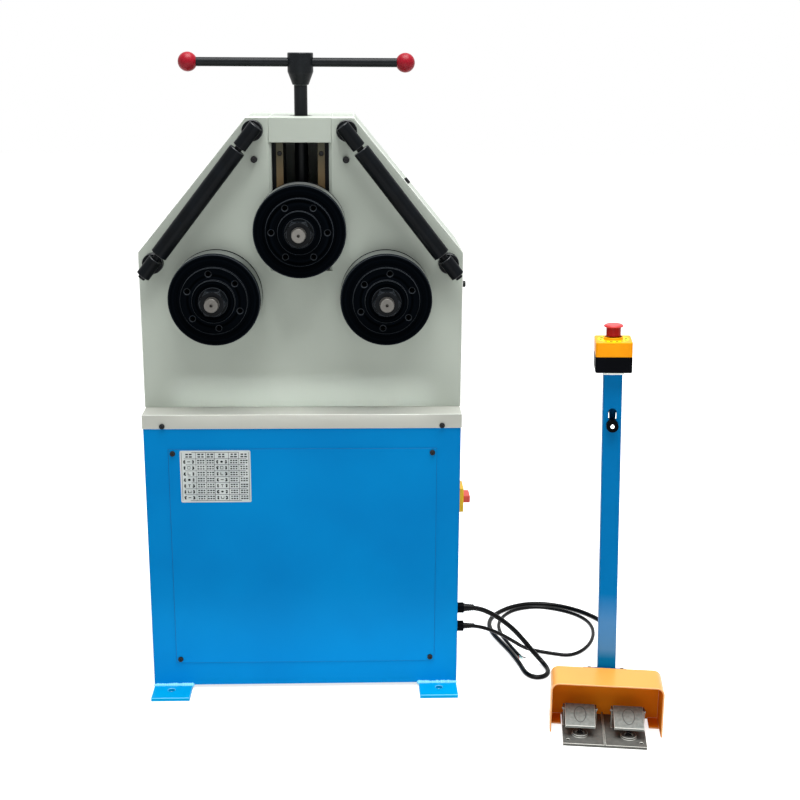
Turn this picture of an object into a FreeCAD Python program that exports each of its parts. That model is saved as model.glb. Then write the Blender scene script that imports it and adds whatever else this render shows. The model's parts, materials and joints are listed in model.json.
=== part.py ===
import FreeCAD, Part
import Sketcher
import math
import os

# Ring roller: an electric section bender on a sheet-steel cabinet, with its control post.
# +X is to the operator's right, +Y runs away from the operator, +Z is up, in millimetres.
# The origin is on the floor, at the centre of the four anchor holes.

doc = FreeCAD.newDocument("ring_roller")
sheet = doc.addObject("Spreadsheet::Sheet", "Dims")
V = FreeCAD.Vector


class Size:
    """A number that remembers the spreadsheet formula it comes from."""

    def __init__(self, value, formula):
        self.value = float(value)
        self.formula = formula

    def joined(self, other, sign, value):
        return Size(value, "(%s %s %s)" % (self.formula, sign, sized(other).formula))

    def __add__(self, other):
        return self.joined(other, "+", self.value + sized(other).value)

    def __radd__(self, other):
        return sized(other) + self

    def __sub__(self, other):
        return self.joined(other, "-", self.value - sized(other).value)

    def __rsub__(self, other):
        return sized(other) - self

    def __mul__(self, other):
        return self.joined(other, "*", self.value * sized(other).value)

    def __rmul__(self, other):
        return sized(other) * self

    def __truediv__(self, other):
        return self.joined(other, "/", self.value / sized(other).value)

    def __rtruediv__(self, other):
        return sized(other) / self

    def __neg__(self):
        return Size(-self.value, "(0 - %s)" % self.formula)

    def __float__(self):
        return self.value


def sized(item):
    return item if isinstance(item, Size) else Size(item, "%.6g" % item)


def sine(angle):
    return Size(math.sin(math.radians(angle.value)), "sin(%s)" % angle.formula)


def cosine(angle):
    return Size(math.cos(math.radians(angle.value)), "cos(%s)" % angle.formula)


def slope_angle(rise, run):
    ratio = sized(rise) / run
    return Size(math.degrees(math.atan(ratio.value)), "atan(%s)" % ratio.formula)


def root(item):
    return Size(math.sqrt(item.value), "sqrt(%s)" % item.formula)


row_of_sheet = 0


def dim(alias, value):
    """Write one driving dimension to the sheet and return it as a Size."""
    global row_of_sheet
    row_of_sheet += 1
    cell = "A%d" % row_of_sheet
    sheet.set(cell, str(value))
    sheet.setAlias(cell, alias)
    return Size(value, "Dims.%s" % alias)


# ---------------------------------------------------------------- driving dimensions

# cabinet of folded sheet steel
cabinet_width = dim("cabinet_width", 627.4)
cabinet_depth = dim("cabinet_depth", 500)
cabinet_height = dim("cabinet_height", 580.6)
cabinet_sheet = dim("cabinet_sheet", 2)
stile_width = dim("stile_width", 62)
rail_height = dim("rail_height", 62)
top_rail_height = dim("top_rail_height", 84)
access_panel_border = dim("access_panel_border", 47.2)
access_panel_margin = dim("access_panel_margin", 118.6)
access_panel_base = dim("access_panel_base", 58)
access_panel_sheet = dim("access_panel_sheet", 1.5)
access_screw_inset = dim("access_screw_inset", 9)

# feet and anchor holes
foot_thickness = dim("foot_thickness", 8)
foot_width = dim("foot_width", 78.5)
foot_reach = dim("foot_reach", 57)
foot_tuck = dim("foot_tuck", 60)
anchor_hole_radius = dim("anchor_hole_radius", 7)
anchor_inset = dim("anchor_inset", 37.7)
anchor_reach = dim("anchor_reach", 22)

# deck tray that caps the cabinet and carries the bending head
tray_sheet = dim("tray_sheet", 1.6)
tray_lip = dim("tray_lip", 28.6)
tray_screw_inset = dim("tray_screw_inset", 37.7)
sheet_clearance = dim("sheet_clearance", 0.2)

# bending head
ledge_depth = dim("ledge_depth", 57.2)
head_depth = dim("head_depth", 220)
head_overhang = dim("head_overhang", 3.5)
head_top_half_width = dim("head_top_half_width", 103.4)
shoulder_rise = dim("shoulder_rise", 80.1)
head_rise = dim("head_rise", 207.4)
cover_sheet = dim("cover_sheet", 2)
front_plate_thickness = dim("front_plate_thickness", 25)
back_plate_thickness = dim("back_plate_thickness", 20)
top_block_height = dim("top_block_height", 47)
top_block_half_width = dim("top_block_half_width", 60)

# slide way of the top roller
slot_half_width = dim("slot_half_width", 55)
slot_rise = dim("slot_rise", 43.9)
slot_chamfer = dim("slot_chamfer", 6)
way_half_width = dim("way_half_width", 33.2)
way_depth = dim("way_depth", 107.5)
way_outer = dim("way_outer", 78)
gib_width = dim("gib_width", 13.8)
gib_thickness = dim("gib_thickness", 6)
slide_gap = dim("slide_gap", 0.3)
slide_rise = dim("slide_rise", 60)
slide_drop = dim("slide_drop", 38)
slide_flange_half_width = dim("slide_flange_half_width", 50)
slide_flange_thickness = dim("slide_flange_thickness", 15.7)
keeper_thickness = dim("keeper_thickness", 16)
thrust_cap_thickness = dim("thrust_cap_thickness", 8)

# rollers and their spindles
lower_roller_x = dim("lower_roller_x", 164.2)
lower_roller_rise = dim("lower_roller_rise", 231.9)
top_roller_rise = dim("top_roller_rise", 130.5)
roller_radius = dim("roller_radius", 88.2)
roller_standoff = dim("roller_standoff", 9.7)
rear_disc_thickness = dim("rear_disc_thickness", 12)
core_thickness = dim("core_thickness", 46)
face_disc_thickness = dim("face_disc_thickness", 12)
face_boss_radius = dim("face_boss_radius", 64)
face_boss_height = dim("face_boss_height", 8)
face_hub_radius = dim("face_hub_radius", 41)
face_hub_height = dim("face_hub_height", 8)
face_hole_circle = dim("face_hole_circle", 53)
face_hole_radius = dim("face_hole_radius", 5)
face_hole_depth = dim("face_hole_depth", 14)
face_hole_rim = dim("face_hole_rim", 1)
left_hole_angle = dim("left_hole_angle", 39.5)
right_hole_angle = dim("right_hole_angle", 23)
top_hole_angle = dim("top_hole_angle", 0)
face_hole_count = dim("face_hole_count", 6)
disc_chamfer = dim("disc_chamfer", 1)
spindle_radius = dim("spindle_radius", 15)
spindle_collar_radius = dim("spindle_collar_radius", 24)
spindle_thread_radius = dim("spindle_thread_radius", 14)
spindle_tip = dim("spindle_tip", 16)
spindle_nose_radius = dim("spindle_nose_radius", 13.5)
thread_proud = dim("thread_proud", 1)
spindle_centre_radius = dim("spindle_centre_radius", 3)
spindle_centre_depth = dim("spindle_centre_depth", 8)
washer_radius = dim("washer_radius", 28)
washer_thickness = dim("washer_thickness", 3)
nut_flats = dim("nut_flats", 46)
nut_thickness = dim("nut_thickness", 20)
nut_chamfer = dim("nut_chamfer", 2.2)
running_clearance = dim("running_clearance", 0.05)

# rolling bearings and their covers
bearing_outer_radius = dim("bearing_outer_radius", 31)
bearing_width = dim("bearing_width", 15.6)
bearing_cover_radius = dim("bearing_cover_radius", 46)
bearing_cover_thickness = dim("bearing_cover_thickness", 6.5)
collar_clearance = dim("collar_clearance", 1)

# gear train
gear_module = dim("gear_module", 5)
gear_teeth = dim("gear_teeth", 40)
pinion_teeth = dim("pinion_teeth", 28)
gear_face_width = dim("gear_face_width", 24)
gear_hub_radius = dim("gear_hub_radius", 27)
gear_hub_length = dim("gear_hub_length", 6)
gear_front_gap = dim("gear_front_gap", 11)
gear_backlash = dim("gear_backlash", 0.5)
pressure_angle = dim("pressure_angle", 20)

# gear reducer and motor behind the head
reducer_half_width = dim("reducer_half_width", 62)
reducer_depth = dim("reducer_depth", 124)
worm_set_back = dim("worm_set_back", 83)
reducer_rise = dim("reducer_rise", 72)
reducer_boss_radius = dim("reducer_boss_radius", 40)
reducer_cap_radius = dim("reducer_cap_radius", 52)
reducer_cap_thickness = dim("reducer_cap_thickness", 5)
reducer_rib_thickness = dim("reducer_rib_thickness", 6)
reducer_rib_height = dim("reducer_rib_height", 8)
worm_drop = dim("worm_drop", 63)
worm_barrel_radius = dim("worm_barrel_radius", 46)
motor_radius = dim("motor_radius", 68)
motor_fin_height = dim("motor_fin_height", 7)
motor_fin_count = dim("motor_fin_count", 24)
motor_length = dim("motor_length", 150)
motor_flange_radius = dim("motor_flange_radius", 72)
motor_flange_thickness = dim("motor_flange_thickness", 12)
motor_cowl_length = dim("motor_cowl_length", 52)
motor_fin_thickness = dim("motor_fin_thickness", 3)
motor_cowl_overhang = dim("motor_cowl_overhang", 2)
motor_cowl_round = dim("motor_cowl_round", 10)
terminal_box_length = dim("terminal_box_length", 90)
terminal_box_width = dim("terminal_box_width", 80)
terminal_box_height = dim("terminal_box_height", 40)

# feed screw and its handle
screw_set_back = dim("screw_set_back", 76)
screw_radius = dim("screw_radius", 13)
screw_journal_radius = dim("screw_journal_radius", 10)
screw_journal_length = dim("screw_journal_length", 26)
thrust_collar_radius = dim("thrust_collar_radius", 18)
thrust_collar_thickness = dim("thrust_collar_thickness", 8)
hub_rise = dim("hub_rise", 83.1)
hub_taper_height = dim("hub_taper_height", 24.6)
hub_taper_radius = dim("hub_taper_radius", 15.6)
hub_radius = dim("hub_radius", 25)
hub_height = dim("hub_height", 36.3)
bar_radius = dim("bar_radius", 8.7)
bar_length = dim("bar_length", 421)
bar_offset = dim("bar_offset", 7)
knob_radius = dim("knob_radius", 18.7)
lead_nut_radius = dim("lead_nut_radius", 22)

# guide rollers beside the head
guide_post_x = dim("guide_post_x", 89.5)
guide_post_drop = dim("guide_post_drop", 24)
guide_slope = dim("guide_slope", 52)
guide_edge_inset = dim("guide_edge_inset", 29.7)
guide_standoff = dim("guide_standoff", 31)
guide_post_radius = dim("guide_post_radius", 20)
guide_post_length = dim("guide_post_length", 19)
guide_arm_radius = dim("guide_arm_radius", 13.8)
guide_arm_tail = dim("guide_arm_tail", 13.5)
guide_arm_length = dim("guide_arm_length", 51.5)
guide_end_arm_length = dim("guide_end_arm_length", 40.8)
guide_shaft_radius = dim("guide_shaft_radius", 7.25)
guide_shaft_nub = dim("guide_shaft_nub", 6)
guide_sleeve_radius = dim("guide_sleeve_radius", 16.5)
guide_sleeve_start = dim("guide_sleeve_start", 44)
guide_sleeve_margin = dim("guide_sleeve_margin", 24.6)

# screws
button_head_radius = dim("button_head_radius", 5.5)
button_head_height = dim("button_head_height", 3.2)
button_shank_radius = dim("button_shank_radius", 3)
socket_head_radius = dim("socket_head_radius", 6.5)
socket_head_height = dim("socket_head_height", 6)
socket_shank_radius = dim("socket_shank_radius", 4)
gib_screw_radius = dim("gib_screw_radius", 4.25)
gib_screw_height = dim("gib_screw_height", 4)
gib_screw_drop = dim("gib_screw_drop", 21.8)
plate_screw_x = dim("plate_screw_x", 88)
plate_screw_drop = dim("plate_screw_drop", 79)
side_screw_rise = dim("side_screw_rise", 15.9)
slope_screw_x = dim("slope_screw_x", 204)
plate_screw_grip = dim("plate_screw_grip", 18)
hole_clearance = dim("hole_clearance", 0.3)
flat_head_height = dim("flat_head_height", 1.2)

# electrics on the right side of the cabinet
switch_set_back = dim("switch_set_back", 109)
switch_height = dim("switch_height", 380)
switch_plate = dim("switch_plate", 52)
switch_thickness = dim("switch_thickness", 15.4)
switch_handle_width = dim("switch_handle_width", 15)
switch_handle_length = dim("switch_handle_length", 40)
switch_handle_height = dim("switch_handle_height", 14)
switch_stem_radius = dim("switch_stem_radius", 6)
lamp_set_back = dim("lamp_set_back", 128)
lamp_height = dim("lamp_height", 456)
lamp_radius = dim("lamp_radius", 11)
lamp_thickness = dim("lamp_thickness", 6)
lamp_body_radius = dim("lamp_body_radius", 8)
gland_set_back = dim("gland_set_back", 85)
control_gland_height = dim("control_gland_height", 138)
mains_gland_height = dim("mains_gland_height", 96)
gland_radius = dim("gland_radius", 11)
gland_nut_flats = dim("gland_nut_flats", 23.4)
gland_reach = dim("gland_reach", 20)
control_cable_radius = dim("control_cable_radius", 5.25)
mains_lead_radius = dim("mains_lead_radius", 4)
post_gland_height = dim("post_gland_height", 46)
post_gland_reach = dim("post_gland_reach", 12)
post_cable_run = dim("post_cable_run", 32)
panel_set_back = dim("panel_set_back", 62)
panel_width = dim("panel_width", 260)
panel_base = dim("panel_base", 120)
panel_height = dim("panel_height", 380)
panel_standoff = dim("panel_standoff", 30)
contactor_width = dim("contactor_width", 55)
contactor_height = dim("contactor_height", 85)
contactor_depth = dim("contactor_depth", 78)
contactor_pitch = dim("contactor_pitch", 71.5)
contactor_rise = dim("contactor_rise", 209)
wall_screw_set_back = dim("wall_screw_set_back", 85)
wall_screw_spread = dim("wall_screw_spread", 22)
wall_screw_low = dim("wall_screw_low", 194)
wall_screw_high = dim("wall_screw_high", 273.5)
wall_screw_head = dim("wall_screw_head", 5.5)
wall_screw_grip = dim("wall_screw_grip", 8)

# control post with its emergency stop
post_x = dim("post_x", 588.6)
post_front = dim("post_front", 463.8)
post_turn = dim("post_turn", -7.6)
post_lean = dim("post_lean", -1.5)
post_foot_shift = dim("post_foot_shift", 4.6)
post_tube = dim("post_tube", 35)
post_wall = dim("post_wall", 2)
post_top = dim("post_top", 708)
post_set_back = dim("post_set_back", 100)
post_foot_width = dim("post_foot_width", 180)
post_foot_depth = dim("post_foot_depth", 88)
post_foot_thickness = dim("post_foot_thickness", 6)
bracket_width = dim("bracket_width", 86)
bracket_thickness = dim("bracket_thickness", 5)
bracket_depth = dim("bracket_depth", 41)
bracket_base = dim("bracket_base", 81)
bracket_bolt_x = dim("bracket_bolt_x", 32)
bracket_bolt_set_back = dim("bracket_bolt_set_back", 12)
bracket_bolt_radius = dim("bracket_bolt_radius", 4)
bracket_bolt_flats = dim("bracket_bolt_flats", 13)
bracket_bolt_head = dim("bracket_bolt_head", 5.5)
bracket_bolt_proud = dim("bracket_bolt_proud", 8)
post_slot_width = dim("post_slot_width", 15)
post_slot_length = dim("post_slot_length", 24)
knob_height = dim("knob_height", 604)
post_knob_radius = dim("post_knob_radius", 11.5)
post_knob_length = dim("post_knob_length", 14)
post_knob_stud_radius = dim("post_knob_stud_radius", 5)
box_width = dim("box_width", 68)
box_base_height = dim("box_base_height", 30)
box_lid_height = dim("box_lid_height", 28)
box_corner = dim("box_corner", 5)
post_corner = dim("post_corner", 3.5)
box_floor = dim("box_floor", 3)
stop_neck_radius = dim("stop_neck_radius", 13.6)
stop_neck_height = dim("stop_neck_height", 23.5)
stop_cap_radius = dim("stop_cap_radius", 18.2)
stop_cap_height = dim("stop_cap_height", 4.5)
stop_stem_radius = dim("stop_stem_radius", 8)
stop_collar_gap = dim("stop_collar_gap", 6.5)
stop_collar_radius = dim("stop_collar_radius", 17.6)
stop_collar_height = dim("stop_collar_height", 5)
ring_clearance = dim("ring_clearance", 1.2)

# foot switch and its hood
hood_width = dim("hood_width", 217)
hood_height = dim("hood_height", 105)
hood_depth = dim("hood_depth", 76)
hood_sheet = dim("hood_sheet", 3)
hood_corner = dim("hood_corner", 16)
hood_foot_width = dim("hood_foot_width", 20)
hood_foot_set_back = dim("hood_foot_set_back", 34)
switch_base_width = dim("switch_base_width", 160)
switch_base_reach = dim("switch_base_reach", 50)
switch_base_thickness = dim("switch_base_thickness", 6)
switch_base_shift = dim("switch_base_shift", -4)
rib_width = dim("rib_width", 3)
rib_height = dim("rib_height", 5)
pedal_spacing = dim("pedal_spacing", 93.4)
pedal_width = dim("pedal_width", 57.5)
pedal_front = dim("pedal_front", -24.5)
pedal_front_height = dim("pedal_front_height", 30)
pedal_back = dim("pedal_back", 34)
pedal_back_height = dim("pedal_back_height", 47)
pedal_thickness = dim("pedal_thickness", 4)
pedal_lip = dim("pedal_lip", 5)
pivot_set_back = dim("pivot_set_back", 30)
pivot_height = dim("pivot_height", 38)
pivot_radius = dim("pivot_radius", 3)
ear_thickness = dim("ear_thickness", 3)
ear_gap = dim("ear_gap", 0.7)
ear_depth = dim("ear_depth", 20)
ear_rise = dim("ear_rise", 4.8)
pin_overhang = dim("pin_overhang", 2)
spring_radius = dim("spring_radius", 4.6)
spring_wire_radius = dim("spring_wire_radius", 0.8)
spring_pitch = dim("spring_pitch", 4.2)
spring_turns = dim("spring_turns", 4)
spring_set_back = dim("spring_set_back", -12)
base_hole_radius = dim("base_hole_radius", 3.25)
base_hole_inset = dim("base_hole_inset", 10)
base_hole_set_back = dim("base_hole_set_back", 15)
spring_seat_radius = dim("spring_seat_radius", 15)
spring_seat_height = dim("spring_seat_height", 4)
spring_recess_radius = dim("spring_recess_radius", 8)
spring_recess_depth = dim("spring_recess_depth", 2)

doc.recompute()

# ---------------------------------------------------------------- places worked out from them

front = -cabinet_depth / 2
back = cabinet_depth / 2
side = cabinet_width / 2
cabinet_base = foot_thickness
cabinet_top = cabinet_base + cabinet_height
access_panel_width = cabinet_width - access_panel_border * 2
access_panel_height = cabinet_height - access_panel_margin
tray_top = cabinet_top + tray_sheet
lower_roller_height = tray_top + lower_roller_rise
top_roller_height = lower_roller_height + top_roller_rise
shoulder_height = lower_roller_height + shoulder_rise
slot_base = lower_roller_height + slot_rise
head_top = top_roller_height + head_rise
hub_base = head_top + hub_rise
guide_post_height = head_top - guide_post_drop
plate_screw_height = head_top - plate_screw_drop
side_screw_height = lower_roller_height + side_screw_rise
tray_screw_x = side - tray_screw_inset
head_half_width = side + head_overhang
head_front = front + ledge_depth
head_back = head_front + head_depth
plate_half_width = head_half_width - cover_sheet
plate_top = head_top - cover_sheet
front_plate_back = head_front + front_plate_thickness
back_plate_front = head_back - back_plate_thickness
block_base = head_top - top_block_height
gib_front = front_plate_back - gib_thickness
slide_front = gib_front - slide_gap - slide_flange_thickness
way_back = front_plate_back + way_depth
keeper_front = way_back + slide_gap
keeper_back = keeper_front + keeper_thickness
roller_back = head_front - roller_standoff
roller_core_back = roller_back - rear_disc_thickness
roller_core_front = roller_core_back - core_thickness
roller_face = roller_core_front - face_disc_thickness
boss_face = roller_face - face_boss_height
hub_face = boss_face - face_hub_height
washer_face = hub_face - washer_thickness
nut_face = washer_face - nut_thickness
spindle_front = nut_face - spindle_tip
gear_pitch_radius = gear_module * gear_teeth / 2
pinion_pitch_radius = gear_module * pinion_teeth / 2
gear_distance = gear_pitch_radius + pinion_pitch_radius
pinion_drop = root(gear_distance * gear_distance - lower_roller_x * lower_roller_x)
pinion_height = lower_roller_height - pinion_drop
gear_back = back_plate_front - gear_front_gap
gear_front = gear_back - gear_face_width
screw_y = head_front + screw_set_back
slide_top = top_roller_height + slide_rise
guide_axis_y = head_front - guide_standoff
guide_span = (head_half_width - guide_edge_inset - guide_post_x) / cosine(guide_slope)
guide_sleeve_length = guide_span - guide_sleeve_start - guide_sleeve_margin

# ---------------------------------------------------------------- helpers

parts = {}


def bind(thing, path, size):
    thing.setExpression(path, sized(size).formula)


def place(thing, x, y, z):
    bind(thing, "Placement.Base.x", x)
    bind(thing, "Placement.Base.y", y)
    bind(thing, "Placement.Base.z", z)
    return thing


def name_part(thing, label):
    thing.Label = label
    parts[label] = thing
    return thing


def origin_feature(body, role):
    return [item for item in body.Origin.OriginFeatures if item.Role == role][0]


def new_body(label, x=0, y=0, z=0):
    body = doc.addObject("PartDesign::Body", label + "_body")
    place(body, x, y, z)
    return name_part(body, label)


def new_sketch(body, role, offset=0):
    sketch = body.newObject("Sketcher::SketchObject", "sketch")
    sketch.AttachmentSupport = [(origin_feature(body, role), "")]
    sketch.MapMode = "FlatFace"
    bind(sketch, "AttachmentOffset.Base.z", offset)
    return sketch


def hold(sketch, kind, edge, point, size):
    index = sketch.addConstraint(Sketcher.Constraint(kind, -1, 1, edge, point, float(size)))
    bind(sketch, "Constraints[%d]" % index, size)


def polygon(sketch, corners):
    """Closed outline of straight lines whose corners are held by the sheet."""
    first = sketch.GeometryCount
    count = len(corners)
    for number in range(count):
        here, there = corners[number], corners[(number + 1) % count]
        line = Part.LineSegment(V(float(here[0]), float(here[1]), 0), V(float(there[0]), float(there[1]), 0))
        sketch.addGeometry(line, False)
    for number in range(count):
        following = first + (number + 1) % count
        sketch.addConstraint(Sketcher.Constraint("Coincident", first + number, 2, following, 1))
    for number, (across, along) in enumerate(corners):
        hold(sketch, "DistanceX", first + number, 1, sized(across))
        hold(sketch, "DistanceY", first + number, 1, sized(along))


def rectangle(sketch, left, low, right, high):
    polygon(sketch, [(left, low), (right, low), (right, high), (left, high)])


def circle(sketch, across, along, radius):
    edge = sketch.addGeometry(Part.Circle(V(float(across), float(along), 0), V(0, 0, 1), float(radius)), False)
    hold(sketch, "DistanceX", edge, 3, sized(across))
    hold(sketch, "DistanceY", edge, 3, sized(along))
    index = sketch.addConstraint(Sketcher.Constraint("Radius", edge, float(radius)))
    bind(sketch, "Constraints[%d]" % index, radius)


def pad(body, sketch, length, backwards=False):
    feature = body.newObject("PartDesign::Pad", "pad")
    feature.Profile = sketch
    bind(feature, "Length", length)
    feature.Reversed = backwards
    return feature


def pocket(body, sketch, length, backwards=False):
    feature = body.newObject("PartDesign::Pocket", "pocket")
    feature.Profile = sketch
    bind(feature, "Length", length)
    feature.Reversed = backwards
    return feature


def revolve(body, sketch, axis):
    feature = body.newObject("PartDesign::Revolution", "revolution")
    feature.Profile = sketch
    feature.ReferenceAxis = (sketch, [axis])
    feature.Angle = 360
    return feature


def ring_of(body, feature, role, count):
    pattern = body.newObject("PartDesign::PolarPattern", "pattern")
    pattern.Originals = [feature]
    pattern.Axis = (origin_feature(body, role), [""])
    pattern.Angle = 360
    bind(pattern, "Occurrences", count)
    body.Tip = pattern
    return pattern


def turned(label, profile, x, y, z, along_y=True):
    """A turned piece: its half profile is (position along the axis, radius)."""
    body = new_body(label, x, y, z)
    sketch = new_sketch(body, "YZ_Plane" if along_y else "XZ_Plane")
    if along_y:
        polygon(sketch, profile)
        revolve(body, sketch, "H_Axis")
    else:
        polygon(sketch, [(radius, along) for along, radius in profile])
        revolve(body, sketch, "V_Axis")
    return body


def box(x0, y0, z0, x1, y1, z1):
    item = doc.addObject("Part::Box", "block")
    place(item, x0, y0, z0)
    bind(item, "Length", sized(x1) - x0)
    bind(item, "Width", sized(y1) - y0)
    bind(item, "Height", sized(z1) - z0)
    return item


AXIS_TURN = {"X": (V(0, 1, 0), 90), "Y": (V(1, 0, 0), -90), "Z": (V(0, 0, 1), 0)}


def rod(axis, radius, length, x, y, z):
    """A round bar from (x, y, z) in the positive direction of one axis."""
    item = doc.addObject("Part::Cylinder", "rod")
    bind(item, "Radius", radius)
    bind(item, "Height", length)
    item.Placement = FreeCAD.Placement(V(0, 0, 0), FreeCAD.Rotation(*AXIS_TURN[axis]))
    return place(item, x, y, z)


def cut(base, *tools):
    for tool in tools:
        item = doc.addObject("Part::Cut", "cut")
        item.Base = base
        item.Tool = tool
        base = item
    return base


def common(first, second):
    item = doc.addObject("Part::Common", "common")
    item.Base = first
    item.Tool = second
    return item


def fuse(*items):
    item = doc.addObject("Part::MultiFuse", "fuse")
    item.Shapes = list(items)
    return item


def group(label, items):
    """Several separate solids in one named part."""
    item = doc.addObject("Part::Compound", label + "_group")
    item.Links = list(items)
    return name_part(item, label)


def tilted_rod(radius, length, tilt, x, y, z):
    """A round bar from (x, y, z), leaning from upright towards +X by the tilt."""
    item = doc.addObject("Part::Cylinder", "leaning_rod")
    bind(item, "Radius", radius)
    bind(item, "Height", length)
    item.Placement = FreeCAD.Placement(V(0, 0, 0), FreeCAD.Rotation(V(0, 1, 0), float(tilt)))
    bind(item, "Placement.Rotation.Angle", tilt)
    return place(item, x, y, z)


def prism(axis, flats, length, x, y, z):
    """A hexagonal bar from (x, y, z) in the positive direction of one axis."""
    item = doc.addObject("Part::Prism", "hexagon")
    item.Polygon = 6
    bind(item, "Circumradius", sized(flats) / root(Size(3, "3")))
    bind(item, "Height", length)
    item.Placement = FreeCAD.Placement(V(0, 0, 0), FreeCAD.Rotation(*AXIS_TURN[axis]))
    return place(item, x, y, z)


def rounded_bar(x0, y0, z0, x1, y1, z1, radius):
    """An upright block whose four standing edges are rounded."""
    pieces = [box(x0 + radius, y0, z0, x1 - radius, y1, z1), box(x0, y0 + radius, z0, x1, y1 - radius, z1)]
    for x in (x0 + radius, x1 - radius):
        for y in (y0 + radius, y1 - radius):
            pieces.append(rod("Z", radius, sized(z1) - z0, x, y, z0))
    whole = fuse(*pieces)
    whole.Refine = True
    return whole


def together(items):
    item = doc.addObject("Part::Compound", "set")
    item.Links = list(items)
    return item


def leaned(item):
    """Tilt a piece of the post, drawn upright over the origin, about the post's foot."""
    item.Placement = FreeCAD.Placement(V(0, 0, 0), FreeCAD.Rotation(V(0, 1, 0), float(post_lean)))
    bind(item, "Placement.Rotation.Angle", post_lean)
    bind(item, "Placement.Base.x", post_foot_shift)
    return item


def on_post(item):
    """Set a piece that is drawn in the control post's own frame on the floor beside the machine."""
    item.Placement = FreeCAD.Placement(V(0, 0, 0), FreeCAD.Rotation(V(0, 0, 1), float(post_turn)))
    bind(item, "Placement.Rotation.Angle", post_turn)
    return place(item, post_x, -post_front, 0)


# ---------------------------------------------------------------- cabinet


def make_cabinet():
    base = cabinet_base
    top = cabinet_top
    walls = []
    for sign in (-1, 1):
        body = doc.addObject("PartDesign::Body", "side_body")
        sketch = new_sketch(body, "YZ_Plane", sign * side)
        rectangle(sketch, front, base, back, top)
        if sign > 0:
            circle(sketch, front + switch_set_back, switch_height, switch_stem_radius + hole_clearance)
            circle(sketch, front + lamp_set_back, lamp_height, lamp_body_radius + hole_clearance)
            circle(sketch, front + gland_set_back, control_gland_height, control_cable_radius + hole_clearance)
            circle(sketch, front + gland_set_back, mains_gland_height, mains_lead_radius + hole_clearance)
            for y, z in wall_screw_places():
                circle(sketch, y, z, button_shank_radius + hole_clearance)
        pad(body, sketch, cabinet_sheet, backwards=sign > 0)
        walls.append(body)
    group("cabinet_sides", walls)

    inner = side - cabinet_sheet
    rear = new_body("cabinet_back")
    sketch = new_sketch(rear, "XZ_Plane", -back)
    rectangle(sketch, -inner, base, inner, top)
    pad(rear, sketch, cabinet_sheet)

    stiles = [box(-inner, front, base, -inner + stile_width, front + cabinet_sheet, top),
              box(inner - stile_width, front, base, inner, front + cabinet_sheet, top)]
    rails = [box(-inner + stile_width, front, base, inner - stile_width, front + cabinet_sheet, base + rail_height),
             box(-inner + stile_width, front, top - top_rail_height, inner - stile_width, front + cabinet_sheet, top)]
    group("cabinet_front_frame", stiles + rails)

    floor = new_body("cabinet_floor")
    sketch = new_sketch(floor, "XY_Plane", base)
    rectangle(sketch, -inner, front + cabinet_sheet, inner, back - cabinet_sheet)
    pad(floor, sketch, cabinet_sheet)

    feet = []
    for x_sign in (-1, 1):
        for y_sign in (-1, 1):
            outer = side - sheet_clearance
            x0 = -outer if x_sign < 0 else outer - foot_width
            y0 = front - foot_reach if y_sign < 0 else back - foot_tuck
            plate = box(x0, y0, 0, x0 + foot_width, y0 + foot_reach + foot_tuck, foot_thickness)
            hole = rod("Z", anchor_hole_radius, foot_thickness, x_sign * (side - anchor_inset),
                       y_sign * (back + anchor_reach), 0)
            feet.append(cut(plate, hole))
    group("foot_plates", feet)

    panel = new_body("access_panel")
    sketch = new_sketch(panel, "XZ_Plane", -front)
    half = access_panel_width / 2
    panel_top = access_panel_base + access_panel_height
    rectangle(sketch, -half, access_panel_base, half, panel_top)
    for x, z in access_screw_places():
        circle(sketch, x, z, button_shank_radius + sheet_clearance)
    pad(panel, sketch, access_panel_sheet)

    lip_base = tray_top - tray_lip
    outer = side + sheet_clearance + tray_sheet
    reach = back + sheet_clearance + tray_sheet
    tray = new_body("deck_tray")
    sketch = new_sketch(tray, "XY_Plane", lip_base)
    rectangle(sketch, -outer, -reach, outer, reach)
    pad(tray, sketch, tray_lip)
    hollow = new_sketch(tray, "XY_Plane", lip_base)
    rectangle(hollow, tray_sheet - outer, tray_sheet - reach, outer - tray_sheet, reach - tray_sheet)
    pocket(tray, hollow, tray_lip - tray_sheet, backwards=True)
    holes = new_sketch(tray, "XZ_Plane", reach)
    for x in (-tray_screw_x, tray_screw_x):
        circle(holes, x, lip_base + button_head_radius, button_shank_radius + hole_clearance)
    pocket(tray, holes, tray_sheet)


def access_screw_places():
    x = access_panel_width / 2 - access_screw_inset
    low = access_panel_base + access_screw_inset
    high = access_panel_base + access_panel_height - access_screw_inset
    return [(-x, low), (x, low), (-x, high), (x, high)]


def wall_screw_places():
    y = front + wall_screw_set_back
    return [(y + sign * wall_screw_spread / 2, z) for z in (wall_screw_low, wall_screw_high) for sign in (-1, 1)]


def button_screw(x, y, z, grip):
    """Button-head screw driven in +Y, its head seated at y."""
    head = rod("Y", button_head_radius, button_head_height, x, y - button_head_height, z)
    return fuse(head, rod("Y", button_shank_radius, grip, x, y, z))


def slope_seat():
    """Height of the head's sloping face at the cover screws, and how far their axis leans from upright."""
    run = head_half_width - head_top_half_width
    rise = head_top - shoulder_height
    height = shoulder_height + (head_half_width - slope_screw_x) * rise / run
    return height, slope_angle(rise, run)


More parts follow.
